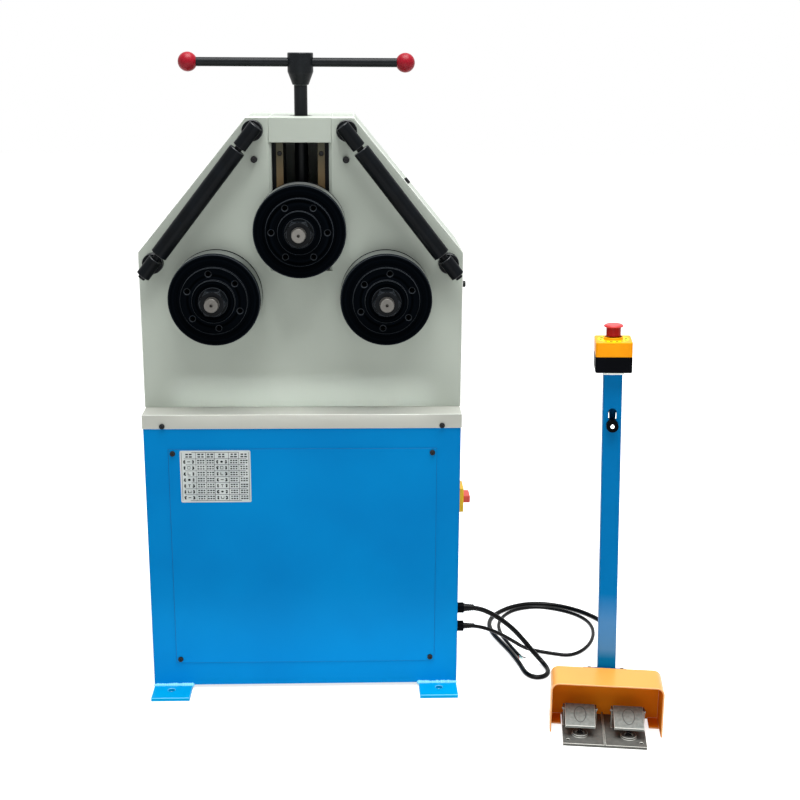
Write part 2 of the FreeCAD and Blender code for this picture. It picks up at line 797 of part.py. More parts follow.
def make_screws():
    screws = []
    for x, z in access_screw_places():
        screws.append(button_screw(x, front - access_panel_sheet, z, access_panel_sheet))
    lip_z = tray_top - tray_lip + button_head_radius
    for x in (-tray_screw_x, tray_screw_x):
        screws.append(button_screw(x, front - sheet_clearance - tray_sheet, lip_z, tray_sheet + sheet_clearance))

    seat, lean = slope_seat()
    grip = cover_sheet * 2
    for sign in (-1, 1):
        gib_x = gib_screw_x(sign)
        for height in gib_screw_heights():
            screws.append(rod("Y", gib_screw_radius, gib_screw_height, gib_x, gib_front + sheet_clearance, height))
        plate_x = sign * plate_screw_x
        head = rod("Y", socket_head_radius, socket_head_height, plate_x, head_front - socket_head_height,
                   plate_screw_height)
        screws.append(fuse(head, rod("Y", socket_shank_radius, plate_screw_grip, plate_x, head_front,
                                     plate_screw_height)))
        for row, y in enumerate(cover_screw_rows()):
            sunk, height = cover_head(sign, row)
            x = head_half_width - sunk if sign > 0 else sunk - head_half_width - height
            head = rod("X", socket_head_radius, height, x, y, side_screw_height)
            x = head_half_width - grip if sign > 0 else -head_half_width
            screws.append(fuse(head, rod("X", socket_shank_radius, grip, x, y, side_screw_height)))
            tilt = sign * lean
            head_x = sign * (slope_screw_x - sunk * sine(lean))
            head = tilted_rod(socket_head_radius, height, tilt, head_x, y, seat - sunk * cosine(lean))
            back_x = sign * (slope_screw_x - grip * sine(lean))
            shank = tilted_rod(socket_shank_radius, grip, tilt, back_x, y, seat - grip * cosine(lean))
            screws.append(fuse(head, shank))

    for y, z in wall_screw_places():
        shank = rod("X", button_shank_radius, cabinet_sheet + wall_screw_grip, side - cabinet_sheet - wall_screw_grip,
                    y, z)
        screws.append(fuse(rod("X", button_head_radius, wall_screw_head, side, y, z), shank))

    bolts = []
    for x in (-bracket_bolt_x, bracket_bolt_x):
        y = hood_depth + bracket_bolt_set_back
        top = bracket_base + bracket_thickness
        nut_z = bracket_base - hood_sheet - bracket_bolt_head
        shank = rod("Z", bracket_bolt_radius, top + bracket_bolt_head + bracket_bolt_proud - nut_z, x, y, nut_z)
        bolts.append(fuse(prism("Z", bracket_bolt_flats, bracket_bolt_head, x, y, top), shank,
                          prism("Z", bracket_bolt_flats, bracket_bolt_head, x, y, nut_z)))
    screws.append(on_post(together(bolts)))
    group("screws", screws)


def gib_screw_x(sign):
    return sign * (way_half_width + gib_width / 2)


def gib_screw_heights():
    return [block_base - gib_screw_drop, slot_base + gib_screw_drop]


def cover_screw_rows():
    return [head_front + front_plate_thickness / 2, back_plate_front + back_plate_thickness / 2]


def cover_head(sign, row):
    """How deep a cover screw's head is let into the cover, and its height: only the right front pair stands proud."""
    proud = sign > 0 and row == 0
    return (sized(0), socket_head_height) if proud else (flat_head_height, flat_head_height)


def cover_head_seats(sign, row):
    """Recesses in one side cover for the flush screw heads of a row."""
    seat, lean = slope_seat()
    sunk, height = cover_head(sign, row)
    y = cover_screw_rows()[row]
    radius = socket_head_radius + hole_clearance
    x = head_half_width - sunk if sign > 0 else -head_half_width - sunk
    low_x = sign * (slope_screw_x - sunk * sine(lean))
    return [rod("X", radius, flat_head_height * 2, x, y, side_screw_height),
            tilted_rod(radius, flat_head_height * 2, sign * lean, low_x, y, seat - sunk * cosine(lean))]


def cover_screw_holes(sign, row):
    """Holes through one side cover, and into the plate behind it, for the screws of the front or the back row."""
    seat, lean = slope_seat()
    y = cover_screw_rows()[row]
    deep = cover_sheet * 3
    start = plate_half_width - cover_sheet * 2 if sign > 0 else -head_half_width
    low_x = sign * (slope_screw_x - deep * sine(lean))
    return [rod("X", socket_shank_radius, deep, start, y, side_screw_height),
            tilted_rod(socket_shank_radius, deep * 2, sign * lean, low_x, y, seat - deep * cosine(lean))]


# ---------------------------------------------------------------- bending head


def head_outline(half_width, top_half_width, shoulder, top):
    return [(-half_width, tray_top), (half_width, tray_top), (half_width, shoulder),
            (top_half_width, top), (-top_half_width, top), (-half_width, shoulder)]


def make_head():
    slope_inset = cover_sheet / 2
    plate = doc.addObject("PartDesign::Body", "front_plate_body")
    sketch = new_sketch(plate, "XZ_Plane", -head_front)
    block_half = top_block_half_width + sheet_clearance
    top_half = head_top_half_width - slope_inset
    shoulder = shoulder_height - slope_inset
    polygon(sketch, [(-plate_half_width, tray_top), (plate_half_width, tray_top), (plate_half_width, shoulder),
                     (top_half, plate_top), (block_half, plate_top), (block_half, block_base),
                     (slot_half_width, block_base), (slot_half_width, slot_base),
                     (-slot_half_width, slot_base), (-slot_half_width, block_base), (-block_half, block_base),
                     (-block_half, plate_top), (-top_half, plate_top), (-plate_half_width, shoulder)])
    for x in (-lower_roller_x, lower_roller_x):
        circle(sketch, x, lower_roller_height, bearing_outer_radius)
    for x in (-plate_screw_x, plate_screw_x):
        circle(sketch, x, plate_screw_height, socket_shank_radius)
    pad(plate, sketch, front_plate_thickness, backwards=True)
    bevel = new_sketch(plate, "XY_Plane", slot_base)
    for sign in (-1, 1):
        edge = sign * slot_half_width
        polygon(bevel, [(edge, head_front), (sign * (slot_half_width + slot_chamfer), head_front),
                        (edge, head_front + slot_chamfer)])
    pocket(plate, bevel, block_base - slot_base, backwards=True)
    name_part(cut(plate, *(cover_screw_holes(-1, 0) + cover_screw_holes(1, 0))), "front_plate")

    rear = doc.addObject("PartDesign::Body", "back_plate_body")
    sketch = new_sketch(rear, "XZ_Plane", -back_plate_front)
    polygon(sketch, head_outline(plate_half_width, top_half, shoulder, plate_top))
    for x in (-lower_roller_x, lower_roller_x):
        circle(sketch, x, lower_roller_height, bearing_outer_radius)
    circle(sketch, 0, pinion_height, bearing_outer_radius)
    pad(rear, sketch, back_plate_thickness, backwards=True)
    name_part(cut(rear, *(cover_screw_holes(-1, 1) + cover_screw_holes(1, 1))), "back_plate")

    covers = []
    for sign in (-1, 1):
        body = doc.addObject("PartDesign::Body", "side_cover_body")
        sketch = new_sketch(body, "XZ_Plane", -head_front)
        inner_edge = top_block_half_width + sheet_clearance
        polygon(sketch, [(sign * plate_half_width, tray_top), (sign * head_half_width, tray_top),
                         (sign * head_half_width, shoulder_height), (sign * head_top_half_width, head_top),
                         (sign * inner_edge, head_top), (sign * inner_edge, plate_top),
                         (sign * top_half, plate_top), (sign * plate_half_width, shoulder)])
        pad(body, sketch, head_depth, backwards=True)
        openings = cover_screw_holes(sign, 0) + cover_screw_holes(sign, 1) + cover_head_seats(sign, 1)
        if sign < 0:
            openings += cover_head_seats(sign, 0)
        covers.append(cut(body, *openings))
    group("side_covers", covers)

    block = new_body("top_block")
    sketch = new_sketch(block, "XZ_Plane", -head_front)
    rectangle(sketch, -top_block_half_width, block_base, top_block_half_width, head_top)
    pad(block, sketch, head_depth - back_plate_thickness, backwards=True)
    bore = new_sketch(block, "XY_Plane", block_base)
    circle(bore, 0, screw_y, lead_nut_radius)
    pocket(block, bore, top_block_height, backwards=True)

    turned("lead_nut", [(0, screw_radius + running_clearance), (top_block_height, screw_radius + running_clearance),
                        (top_block_height, lead_nut_radius), (0, lead_nut_radius)],
           0, screw_y, block_base, along_y=False)

    ways = []
    strips = []
    for sign in (-1, 1):
        x0 = way_half_width if sign > 0 else -way_outer
        ways.append(box(x0, front_plate_back, slot_base, x0 + way_outer - way_half_width, way_back, block_base))
        g0 = way_half_width if sign > 0 else -way_half_width - gib_width
        strip = box(g0, gib_front, slot_base, g0 + gib_width, front_plate_back, block_base - slide_gap)
        sinks = [rod("Y", gib_screw_radius + hole_clearance, gib_screw_height + sheet_clearance, gib_screw_x(sign),
                     gib_front, height) for height in gib_screw_heights()]
        strips.append(cut(strip, *sinks))
    group("slide_rails", ways)
    group("gib_strips", strips)

    covers = []
    for x in (-lower_roller_x, lower_roller_x):
        y0 = head_front - bearing_cover_thickness
        ring = rod("Y", bearing_cover_radius, bearing_cover_thickness, x, y0, lower_roller_height)
        hole = rod("Y", spindle_collar_radius + collar_clearance, bearing_cover_thickness, x, y0, lower_roller_height)
        covers.append(cut(ring, hole))
    group("bearing_covers", covers)


def bearing(x, y, z):
    outer = rod("Y", bearing_outer_radius, bearing_width, x, y, z)
    return cut(outer, rod("Y", spindle_radius + running_clearance, bearing_width, x, y, z))


def make_bearings():
    front_seat = front_plate_back - bearing_width
    rings = []
    for x in (-lower_roller_x, lower_roller_x):
        rings.append(bearing(x, front_seat, lower_roller_height))
        rings.append(bearing(x, back_plate_front, lower_roller_height))
    rings.append(bearing(0, back_plate_front, pinion_height))
    group("shaft_bearings", rings)
    group("slide_bearings", [bearing(0, slide_front, top_roller_height), bearing(0, keeper_front, top_roller_height)])


# ---------------------------------------------------------------- slide of the top roller


def make_slide():
    block = new_body("slide_block", 0, 0, top_roller_height)
    flange = new_sketch(block, "XZ_Plane", -slide_front)
    rectangle(flange, -slide_flange_half_width, -slide_drop, slide_flange_half_width, slide_rise)
    circle(flange, 0, 0, bearing_outer_radius)
    pad(block, flange, slide_flange_thickness, backwards=True)
    tongue_half = way_half_width - slide_gap
    flange_back = slide_front + slide_flange_thickness
    tongue = new_sketch(block, "XZ_Plane", -flange_back)
    rectangle(tongue, -tongue_half, -slide_drop, tongue_half, slide_rise)
    circle(tongue, 0, 0, spindle_collar_radius - collar_clearance * 4)
    pad(block, tongue, keeper_front - flange_back, backwards=True)
    seat = new_sketch(block, "XY_Plane", slide_rise)
    circle(seat, 0, screw_y, screw_journal_radius + running_clearance)
    pocket(block, seat, screw_journal_length + slide_gap)
    recess = new_sketch(block, "XY_Plane", slide_rise)
    circle(recess, 0, screw_y, thrust_collar_radius + slide_gap)
    pocket(block, recess, thrust_collar_thickness + slide_gap)

    plate = box(-slide_flange_half_width, keeper_front, top_roller_height - slide_drop,
                slide_flange_half_width, keeper_back, top_roller_height + slide_rise)
    plate = cut(plate, rod("Y", bearing_outer_radius, keeper_thickness, 0, keeper_front, top_roller_height))
    half = way_half_width - slide_gap
    cap = box(-half, screw_y - half, slide_top, half, screw_y + half, slide_top + thrust_cap_thickness)
    cap = cut(cap, rod("Z", screw_radius + slide_gap, thrust_cap_thickness, 0, screw_y, slide_top))
    group("slide_keeper", [plate, cap])


def make_screw():
    low = slide_rise - screw_journal_length
    collar_low = slide_rise - thrust_collar_thickness
    collar_high = slide_rise - slide_gap
    taper_low = hub_base - top_roller_height - hub_taper_height
    hub_low = hub_base - top_roller_height
    hub_high = hub_low + hub_height
    edge = disc_chamfer
    body = turned("lead_screw", [(low, 0), (low, screw_journal_radius), (collar_low, screw_journal_radius),
                                 (collar_low, thrust_collar_radius), (collar_high, thrust_collar_radius),
                                 (collar_high, screw_radius), (taper_low, screw_radius),
                                 (taper_low, hub_taper_radius), (hub_low, hub_radius),
                                 (hub_high - edge, hub_radius), (hub_high, hub_radius - edge), (hub_high, 0)],
                  0, screw_y, top_roller_height, along_y=False)
    cross = new_sketch(body, "YZ_Plane", -hub_radius)
    circle(cross, 0, hub_low + hub_height / 2, bar_radius + running_clearance)
    pocket(body, cross, hub_radius * 2, backwards=True)

    bar_z = hub_base + hub_height / 2
    bar_start = -bar_offset - bar_length / 2
    name_part(rod("X", bar_radius, bar_length, bar_start, screw_y, bar_z), "tommy_bar")
    knobs = []
    for x in (bar_start, bar_start + bar_length):
        ball = doc.addObject("Part::Sphere", "ball")
        bind(ball, "Radius", knob_radius)
        place(ball, x, screw_y, bar_z)
        hole = rod("X", bar_radius, bar_length, bar_start, screw_y, bar_z)
        knobs.append(cut(ball, hole))
    group("ball_knobs", knobs)


# ---------------------------------------------------------------- rollers and spindles


def roller_disc(y0, y1):
    """A plain roller disc: turned profile with broken edges."""
    edge = disc_chamfer
    bore = spindle_radius + running_clearance
    return [(y0, bore), (y0, roller_radius - edge), (y0 + edge, roller_radius), (y1 - edge, roller_radius),
            (y1, roller_radius - edge), (y1, bore)]


def roller_solid(profile, x, z):
    body = doc.addObject("PartDesign::Body", "disc_body")
    place(body, x, 0, z)
    sketch = new_sketch(body, "YZ_Plane")
    polygon(sketch, profile)
    revolve(body, sketch, "H_Axis")
    return body


def nut_envelope(x, z):
    """The turned blank that leaves a nut's outer corners chamfered on its free face."""
    corner = nut_flats / root(Size(3, "3"))
    item = doc.addObject("Part::Cone", "nut_cone")
    bind(item, "Radius1", nut_flats / 2)
    bind(item, "Radius2", corner * 2 - nut_flats / 2)
    bind(item, "Height", nut_chamfer * 2)
    item.Placement = FreeCAD.Placement(V(0, 0, 0), FreeCAD.Rotation(*AXIS_TURN["Y"]))
    place(item, x, nut_face, z)
    straight = rod("Y", corner, nut_thickness - nut_chamfer, x, nut_face + nut_chamfer, z)
    return fuse(item, straight)


def make_roller(name, x, z, rear_end, hole_angle):
    bore = spindle_radius + running_clearance
    edge = disc_chamfer
    face = roller_solid([(roller_core_front, bore), (roller_core_front, roller_radius - edge),
                         (roller_core_front - edge, roller_radius), (roller_face + edge, roller_radius),
                         (roller_face, roller_radius - edge), (roller_face, face_boss_radius),
                         (boss_face, face_boss_radius), (boss_face, face_hub_radius),
                         (hub_face, face_hub_radius), (hub_face, bore)], x, z)
    across, along = face_hole_circle * cosine(hole_angle), face_hole_circle * sine(hole_angle)
    for radius, depth in ((face_hole_radius, face_hole_depth), (face_hole_radius + face_hole_rim, face_hole_rim)):
        hole = new_sketch(face, "XZ_Plane", -boss_face)
        circle(hole, across, along, radius)
        drilled = pocket(face, hole, depth)
        ring_of(face, drilled, "Y_Axis", face_hole_count)
    core = roller_solid(roller_disc(roller_core_front, roller_core_back), x, z)
    rear = roller_solid(roller_disc(roller_core_back, roller_back), x, z)
    group(name + "_roller", [face, core, rear])

    thread_end = nut_face - thread_proud
    turned(name + "_shaft", [(spindle_front, spindle_centre_radius), (spindle_front, spindle_nose_radius - edge),
                             (spindle_front + edge, spindle_nose_radius), (thread_end, spindle_nose_radius),
                             (thread_end, spindle_thread_radius), (washer_face, spindle_thread_radius),
                             (washer_face, spindle_radius), (roller_back, spindle_radius),
                             (roller_back, spindle_collar_radius), (head_front, spindle_collar_radius),
                             (head_front, spindle_radius), (rear_end, spindle_radius), (rear_end, 0),
                             (spindle_front + spindle_centre_depth, 0)], x, 0, z)

    hexagon = prism("Y", nut_flats, nut_thickness, x, nut_face, z)
    blank = common(hexagon, nut_envelope(x, z))
    nut = cut(blank, rod("Y", spindle_thread_radius + running_clearance, nut_thickness, x, nut_face, z))
    washer = rod("Y", washer_radius, washer_thickness, x, washer_face, z)
    washer = cut(washer, rod("Y", spindle_radius + running_clearance, washer_thickness, x, washer_face, z))
    group(name + "_nut", [nut, washer])


def make_rollers():
    lower_end = head_back - (back_plate_thickness - bearing_width) / 2
    make_roller("left", -lower_roller_x, lower_roller_height, lower_end, left_hole_angle)
    make_roller("right", lower_roller_x, lower_roller_height, lower_end, right_hole_angle)
    make_roller("top", sized(0), top_roller_height, keeper_back + disc_chamfer, top_hole_angle)


# ---------------------------------------------------------------- gear train


def tooth_flank(teeth, backlash):
    """Half-angle of a tooth at several radii, from the root up to the tip, for an involute flank."""
    module = gear_module.value
    pressure = math.radians(pressure_angle.value)
    pitch = module * teeth / 2
    base = pitch * math.cos(pressure)
    tip = pitch + module
    foot = pitch - 1.25 * module
    half_at_pitch = math.pi / (2 * teeth) - backlash / (2 * pitch)
    rise = math.tan(pressure) - pressure
    flank = []
    start = max(base, foot)
    for step in range(4):
        radius = start + (tip - start) * step / 3
        roll = math.acos(min(1.0, base / radius))
        flank.append((radius, half_at_pitch + rise - (math.tan(roll) - roll)))
    if foot < start:
        flank.insert(0, (foot, flank[0][1]))
    return flank


def gear_shape(teeth, phase, bore, width):
    """Spur gear about the Y axis, from y = 0 to y = width, one tooth centred on the phase angle."""
    flank = tooth_flank(teeth, gear_backlash.value)
    corners = []
    for tooth in range(teeth):
        centre = phase + 2 * math.pi * tooth / teeth
        climb = [(radius, centre - half) for radius, half in flank]
        fall = [(radius, centre + half) for radius, half in reversed(flank)]
        corners += [V(radius * math.cos(angle), 0, radius * math.sin(angle)) for radius, angle in climb + fall]
    face = Part.Face(Part.makePolygon(corners + corners[:1]))
    blank = face.extrude(V(0, width, 0))
    return blank.cut(Part.makeCylinder(bore, width, V(0, 0, 0), V(0, 1, 0)))


def shape_part(label, shape, x, y, z):
    item = doc.addObject("Part::Feature", label + "_shape")
    item.Shape = shape
    item.Placement = FreeCAD.Placement(V(float(x), float(y), float(z)), FreeCAD.Rotation())
    return name_part(item, label)


def make_gears():
    teeth = int(gear_teeth.value)
    small = int(pinion_teeth.value)
    bore = (spindle_radius + running_clearance).value
    width = gear_face_width.value
    hub_length = gear_hub_length.value
    to_pinion = math.atan2(-pinion_drop.value, lower_roller_x.value)
    hub = Part.makeCylinder(gear_hub_radius.value, hub_length, V(0, width, 0), V(0, 1, 0))
    hub = hub.cut(Part.makeCylinder(bore, hub_length, V(0, width, 0), V(0, 1, 0)))

    left = gear_shape(teeth, to_pinion, bore, width).fuse(hub)
    shape_part("left_gear", left, -lower_roller_x, gear_front, lower_roller_height)

    # The pinion has a tooth space towards the left gear. Towards the right gear the nearest space is
    # off the line of centres, so the right gear is keyed with its tooth turned by the same arc.
    pitch = 2 * math.pi / small
    to_left = math.pi + to_pinion
    to_right = -to_pinion
    pinion_phase = to_left + pitch / 2
    space_error = (to_right - (pinion_phase - pitch / 2)) % pitch
    right_phase = math.pi - to_pinion + space_error * small / teeth
    right = gear_shape(teeth, right_phase, bore, width).fuse(hub)
    shape_part("right_gear", right, lower_roller_x, gear_front, lower_roller_height)

    shaft_end = head_back + reducer_depth - collar_clearance
    wheel = gear_shape(small, pinion_phase, 1, width)
    shaft = Part.makeCylinder(spindle_radius.value, (shaft_end - gear_front).value, V(0, 0, 0), V(0, 1, 0))
    collar = Part.makeCylinder(gear_hub_radius.value, (back_plate_front - gear_back - collar_clearance).value,
                               V(0, width, 0), V(0, 1, 0))
    shape_part("drive_pinion", wheel.fuse(shaft).fuse(collar), 0, gear_front, pinion_height)


# ---------------------------------------------------------------- gear reducer and motor


def make_drive():
    worm_z = pinion_height - worm_drop
    worm_y = head_back + worm_set_back
    case = box(-reducer_half_width, head_back, worm_z - worm_barrel_radius, reducer_half_width,
               head_back + reducer_depth, pinion_height + reducer_rise)
    barrel = rod("X", worm_barrel_radius, reducer_half_width * 2 + motor_flange_thickness,
                 -reducer_half_width - motor_flange_thickness, worm_y, worm_z)
    rear = head_back + reducer_depth
    boss = rod("Y", reducer_boss_radius, motor_flange_thickness, 0, rear, pinion_height)
    cap = rod("Y", reducer_cap_radius, reducer_cap_thickness, 0, rear, pinion_height)
    rib_top = pinion_height + reducer_rise + reducer_rib_height
    ribs = []
    for y in (head_back, rear - reducer_rib_thickness):
        ribs.append(box(-reducer_half_width, y, worm_z, reducer_half_width, y + reducer_rib_thickness, rib_top))
    shaft_way = rod("Y", spindle_radius + running_clearance, reducer_depth, 0, head_back, pinion_height)
    name_part(cut(fuse(case, barrel, boss, cap, *ribs), shaft_way), "gear_reducer")

    flange_x = -reducer_half_width - motor_flange_thickness * 2
    flange = rod("X", motor_flange_radius, motor_flange_thickness, flange_x, worm_y, worm_z)
    length = motor_length.value
    radius = motor_radius.value
    overlap = motor_fin_thickness.value
    stator = Part.makeCylinder(radius, length, V(0, 0, 0), V(1, 0, 0))
    fins = int(motor_fin_count.value)
    for number in range(fins):
        fin = Part.makeBox(length, motor_fin_thickness.value, motor_fin_height.value + overlap,
                           V(0, -motor_fin_thickness.value / 2, radius - overlap))
        fin.rotate(V(0, 0, 0), V(1, 0, 0), 360 * number / fins)
        stator = stator.fuse(fin)
    cowl_length = motor_cowl_length.value
    cowl_radius = radius + motor_fin_height.value + motor_cowl_overhang.value
    curve = motor_cowl_round.value
    cowl = Part.makeCylinder(cowl_radius, cowl_length - curve, V(curve - cowl_length, 0, 0), V(1, 0, 0))
    crown = Part.makeCone(cowl_radius - curve, cowl_radius, curve, V(-cowl_length, 0, 0), V(1, 0, 0))
    terminal = Part.makeBox(terminal_box_length.value, terminal_box_width.value,
                            terminal_box_height.value + motor_fin_height.value,
                            V((length - terminal_box_length.value) / 2, -terminal_box_width.value / 2, radius - 1))
    piece = doc.addObject("Part::Feature", "stator")
    piece.Shape = stator.fuse([cowl, crown, terminal]).removeSplitter()
    piece.Placement = FreeCAD.Placement(V(flange_x.value - length, worm_y.value, worm_z.value), FreeCAD.Rotation())
    name_part(fuse(flange, piece), "drive_motor")


# ---------------------------------------------------------------- guide rollers


def make_guides():
    brackets = []
    for sign, name in ((-1, "left"), (1, "right")):
        lean = sign * (guide_slope + 90)

        def along_guide(radius, length, start):
            x = sign * (guide_post_x + start * cosine(guide_slope))
            z = guide_post_height - start * sine(guide_slope)
            return tilted_rod(radius, length, lean, x, guide_axis_y, z)

        for station, arm_length in ((sized(0), guide_arm_length), (guide_span, guide_end_arm_length)):
            x = sign * (guide_post_x + station * cosine(guide_slope))
            z = guide_post_height - station * sine(guide_slope)
            post = rod("Y", guide_post_radius, guide_post_length, x, head_front - guide_post_length, z)
            arm = along_guide(guide_arm_radius, arm_length, station - guide_arm_tail)
            bore = along_guide(guide_shaft_radius, arm_length + guide_post_radius, station - guide_post_radius)
            brackets.append(cut(fuse(post, arm), bore))
        shaft_length = guide_span + guide_end_arm_length + guide_shaft_nub
        brackets.append(along_guide(guide_shaft_radius, shaft_length, -guide_arm_tail))
        tube = along_guide(guide_sleeve_radius, guide_sleeve_length, guide_sleeve_start)
        bore = along_guide(guide_shaft_radius + running_clearance, guide_sleeve_length, guide_sleeve_start)
        name_part(cut(tube, bore), name + "_guide_sleeve")
    group("guide_brackets", brackets)


# ---------------------------------------------------------------- electrics


def make_electrics():
    y = front + switch_set_back
    half = switch_plate / 2
    reach = panel_standoff + cabinet_sheet
    plate = box(side, y - half, switch_height - half, side + switch_thickness, y + half, switch_height + half)
    stem = rod("X", switch_stem_radius, reach, side - reach, y, switch_height)
    name_part(fuse(plate, stem), "isolator_plate")
    handle = box(side + switch_thickness, y - switch_handle_length / 2, switch_height - switch_handle_width / 2,
                 side + switch_thickness + switch_handle_height, y + switch_handle_length / 2,
                 switch_height + switch_handle_width / 2)
    name_part(handle, "isolator_handle")

    lamp_y = front + lamp_set_back
    lens = rod("X", lamp_radius, lamp_thickness, side, lamp_y, lamp_height)
    stalk = rod("X", lamp_body_radius, reach, side - reach, lamp_y, lamp_height)
    name_part(fuse(lens, stalk), "pilot_lamp")

    glands = []
    gland_y = front + gland_set_back
    for height in (control_gland_height, mains_gland_height):
        body = rod("X", gland_radius, gland_reach, side, gland_y, height)
        glands.append(fuse(body, prism("X", gland_nut_flats, gland_reach / 3, side, gland_y, height)))
    post_back = post_set_back + post_tube / 2
    gland = rod("Y", gland_radius, post_gland_reach, 0, post_back, post_gland_height)
    glands.append(on_post(together([leaned(together([gland]))])))
    group("cable_glands", glands)

    wall = side - cabinet_sheet
    board = wall - panel_standoff
    y0 = front + panel_set_back
    pieces = [box(board - cabinet_sheet, y0, panel_base, board, y0 + panel_width, panel_base + panel_height)]
    rear_y = y0 + panel_width - contactor_width / 2
    for y, z in wall_screw_places() + [(rear_y, wall_screw_low), (rear_y, wall_screw_high)]:
        pieces.append(rod("X", switch_stem_radius, panel_standoff, board, y, z))
    taps = [rod("X", button_shank_radius, wall_screw_grip, wall - wall_screw_grip, y, z)
            for y, z in wall_screw_places()]
    mount = cut(fuse(*pieces), *taps)
    blocks = []
    for column in (0, 1, 2):
        y = y0 + contactor_width / 2 + contactor_pitch * column
        z = panel_base + contactor_rise
        blocks.append(box(board - cabinet_sheet - contactor_depth, y, z, board - cabinet_sheet,
                          y + contactor_width, z + contactor_height))
    group("electrical_panel", [mount] + blocks)


# ---------------------------------------------------------------- control post


def make_post():
    half = post_tube / 2
    y0 = post_set_back - half
    y1 = post_set_back + half
    outer = rounded_bar(-half, y0, post_foot_thickness / 2, half, y1, post_top, post_corner)
    foot = box(-post_foot_width / 2, hood_depth + hole_clearance, 0, post_foot_width / 2,
               hood_depth + hole_clearance + post_foot_depth, post_foot_thickness)
    bracket = box(-bracket_width / 2, hood_depth + hole_clearance, bracket_base, bracket_width / 2,
                  hood_depth + hole_clearance + bracket_depth, bracket_base + bracket_thickness)
    inner = box(post_wall - half, y0 + post_wall, -post_foot_thickness, half - post_wall, y1 - post_wall, post_top)
    slot = box(-post_slot_width / 2, y0, knob_height + post_slot_width, post_slot_width / 2, y0 + post_wall,
               knob_height + post_slot_length)
    openings = [inner, slot]
    for height in (knob_height + post_slot_width, knob_height + post_slot_length):
        openings.append(rod("Y", post_slot_width / 2, post_wall, 0, y0, height))
    openings.append(rod("Y", post_knob_stud_radius + running_clearance, post_wall, 0, y0, knob_height))
    openings.append(rod("Y", control_cable_radius + hole_clearance, post_wall, 0, y1 - post_wall, post_gland_height))
    bolt_holes = [rod("Z", bracket_bolt_radius, bracket_thickness, x, hood_depth + bracket_bolt_set_back, bracket_base)
                  for x in (-bracket_bolt_x, bracket_bolt_x)]
    name_part(on_post(cut(fuse(leaned(outer), foot, bracket), leaned(fuse(*openings)), *bolt_holes)), "pole")

    knob = rod("Y", post_knob_radius, post_knob_length, 0, y0 - post_knob_length, knob_height)
    stud = rod("Y", post_knob_stud_radius, post_knob_length + post_wall * 4, 0, y0 - post_knob_length - sheet_clearance,
               knob_height)
    on_post(group("pole_knob", [leaned(fuse(knob, stud))]))

    half_box = box_width / 2
    centre = post_set_back
    lid_z = post_top + box_base_height
    base = rounded_bar(-half_box, centre - half_box, post_top, half_box, centre + half_box, lid_z, box_corner)
    base_hollow = box(box_floor - half_box, centre - half_box + box_floor, post_top + box_floor,
                      half_box - box_floor, centre + half_box - box_floor, lid_z)
    on_post(group("estop_base", [leaned(cut(base, base_hollow))]))
    lid_top = lid_z + box_lid_height
    lid = rounded_bar(-half_box, centre - half_box, lid_z, half_box, centre + half_box, lid_top, box_corner)
    lid_hollow = box(box_floor - half_box, centre - half_box + box_floor, lid_z,
                     half_box - box_floor, centre + half_box - box_floor, lid_top - box_floor)
    well = rod("Z", stop_stem_radius + running_clearance, box_floor, 0, centre, lid_top - box_floor)
    collar = rod("Z", stop_collar_radius, stop_collar_height, 0, centre, lid_top)
    collar = cut(collar, rod("Z", stop_neck_radius + ring_clearance, stop_collar_height, 0, centre, lid_top))
    on_post(group("estop_lid", [leaned(cut(fuse(lid, collar), lid_hollow, well))]))

    stem = rod("Z", stop_stem_radius, box_lid_height + stop_collar_gap, 0, centre, lid_z)
    neck = rod("Z", stop_neck_radius, stop_neck_height - stop_collar_gap, 0, centre, lid_top + stop_collar_gap)
    on_post(group("estop_plunger", [leaned(fuse(stem, neck))]))
    cap_z = lid_top + stop_neck_height
    cap = doc.addObject("PartDesign::Body", "cap_body")
    sketch = new_sketch(cap, "XZ_Plane", -centre)
    rim = stop_cap_height / 4
    polygon(sketch, [(0, cap_z), (stop_cap_radius - rim, cap_z), (stop_cap_radius, cap_z + rim),
                     (stop_cap_radius, cap_z + rim * 2), (stop_cap_radius - rim, cap_z + rim * 3),
                     (stop_cap_radius - rim * 3, cap_z + rim * 4), (0, cap_z + rim * 4)])
    revolve(cap, sketch, "V_Axis")
    on_post(group("estop_cap", [leaned(cap)]))


# ---------------------------------------------------------------- foot switch


def arch(sketch, half_width, height, radius):
    """Outline with a flat foot and two rounded upper corners."""
    hw, top, r = float(half_width), float(height), float(radius)
    lines = [((-hw, 0), (hw, 0)), ((hw, 0), (hw, top - r)), ((hw - r, top), (r - hw, top)), ((-hw, top - r), (-hw, 0))]
    for start, end in lines:
        sketch.addGeometry(Part.LineSegment(V(*start, 0), V(*end, 0)), False)
    for centre, low, high in ((V(hw - r, top - r, 0), 0, math.pi / 2), (V(r - hw, top - r, 0), math.pi / 2, math.pi)):
        sketch.addGeometry(Part.ArcOfCircle(Part.Circle(centre, V(0, 0, 1), r), low, high), False)
    meets = [(0, 2, 1, 1), (1, 2, 4, 1), (4, 2, 2, 1), (2, 2, 5, 1), (5, 2, 3, 1), (3, 2, 0, 1)]
    for first, first_end, second, second_end in meets:
        sketch.addConstraint(Sketcher.Constraint("Coincident", first, first_end, second, second_end))
    for edge, point, across, along in ((0, 1, -half_width, 0), (0, 2, half_width, 0),
                                       (1, 2, half_width, height - radius), (2, 1, half_width - radius, height),
                                       (2, 2, radius - half_width, height), (3, 1, -half_width, height - radius)):
        hold(sketch, "DistanceX", edge, point, sized(across))
        hold(sketch, "DistanceY", edge, point, sized(along))
    for edge in (4, 5):
        index = sketch.addConstraint(Sketcher.Constraint("Radius", edge, r))
        bind(sketch, "Constraints[%d]" % index, radius)


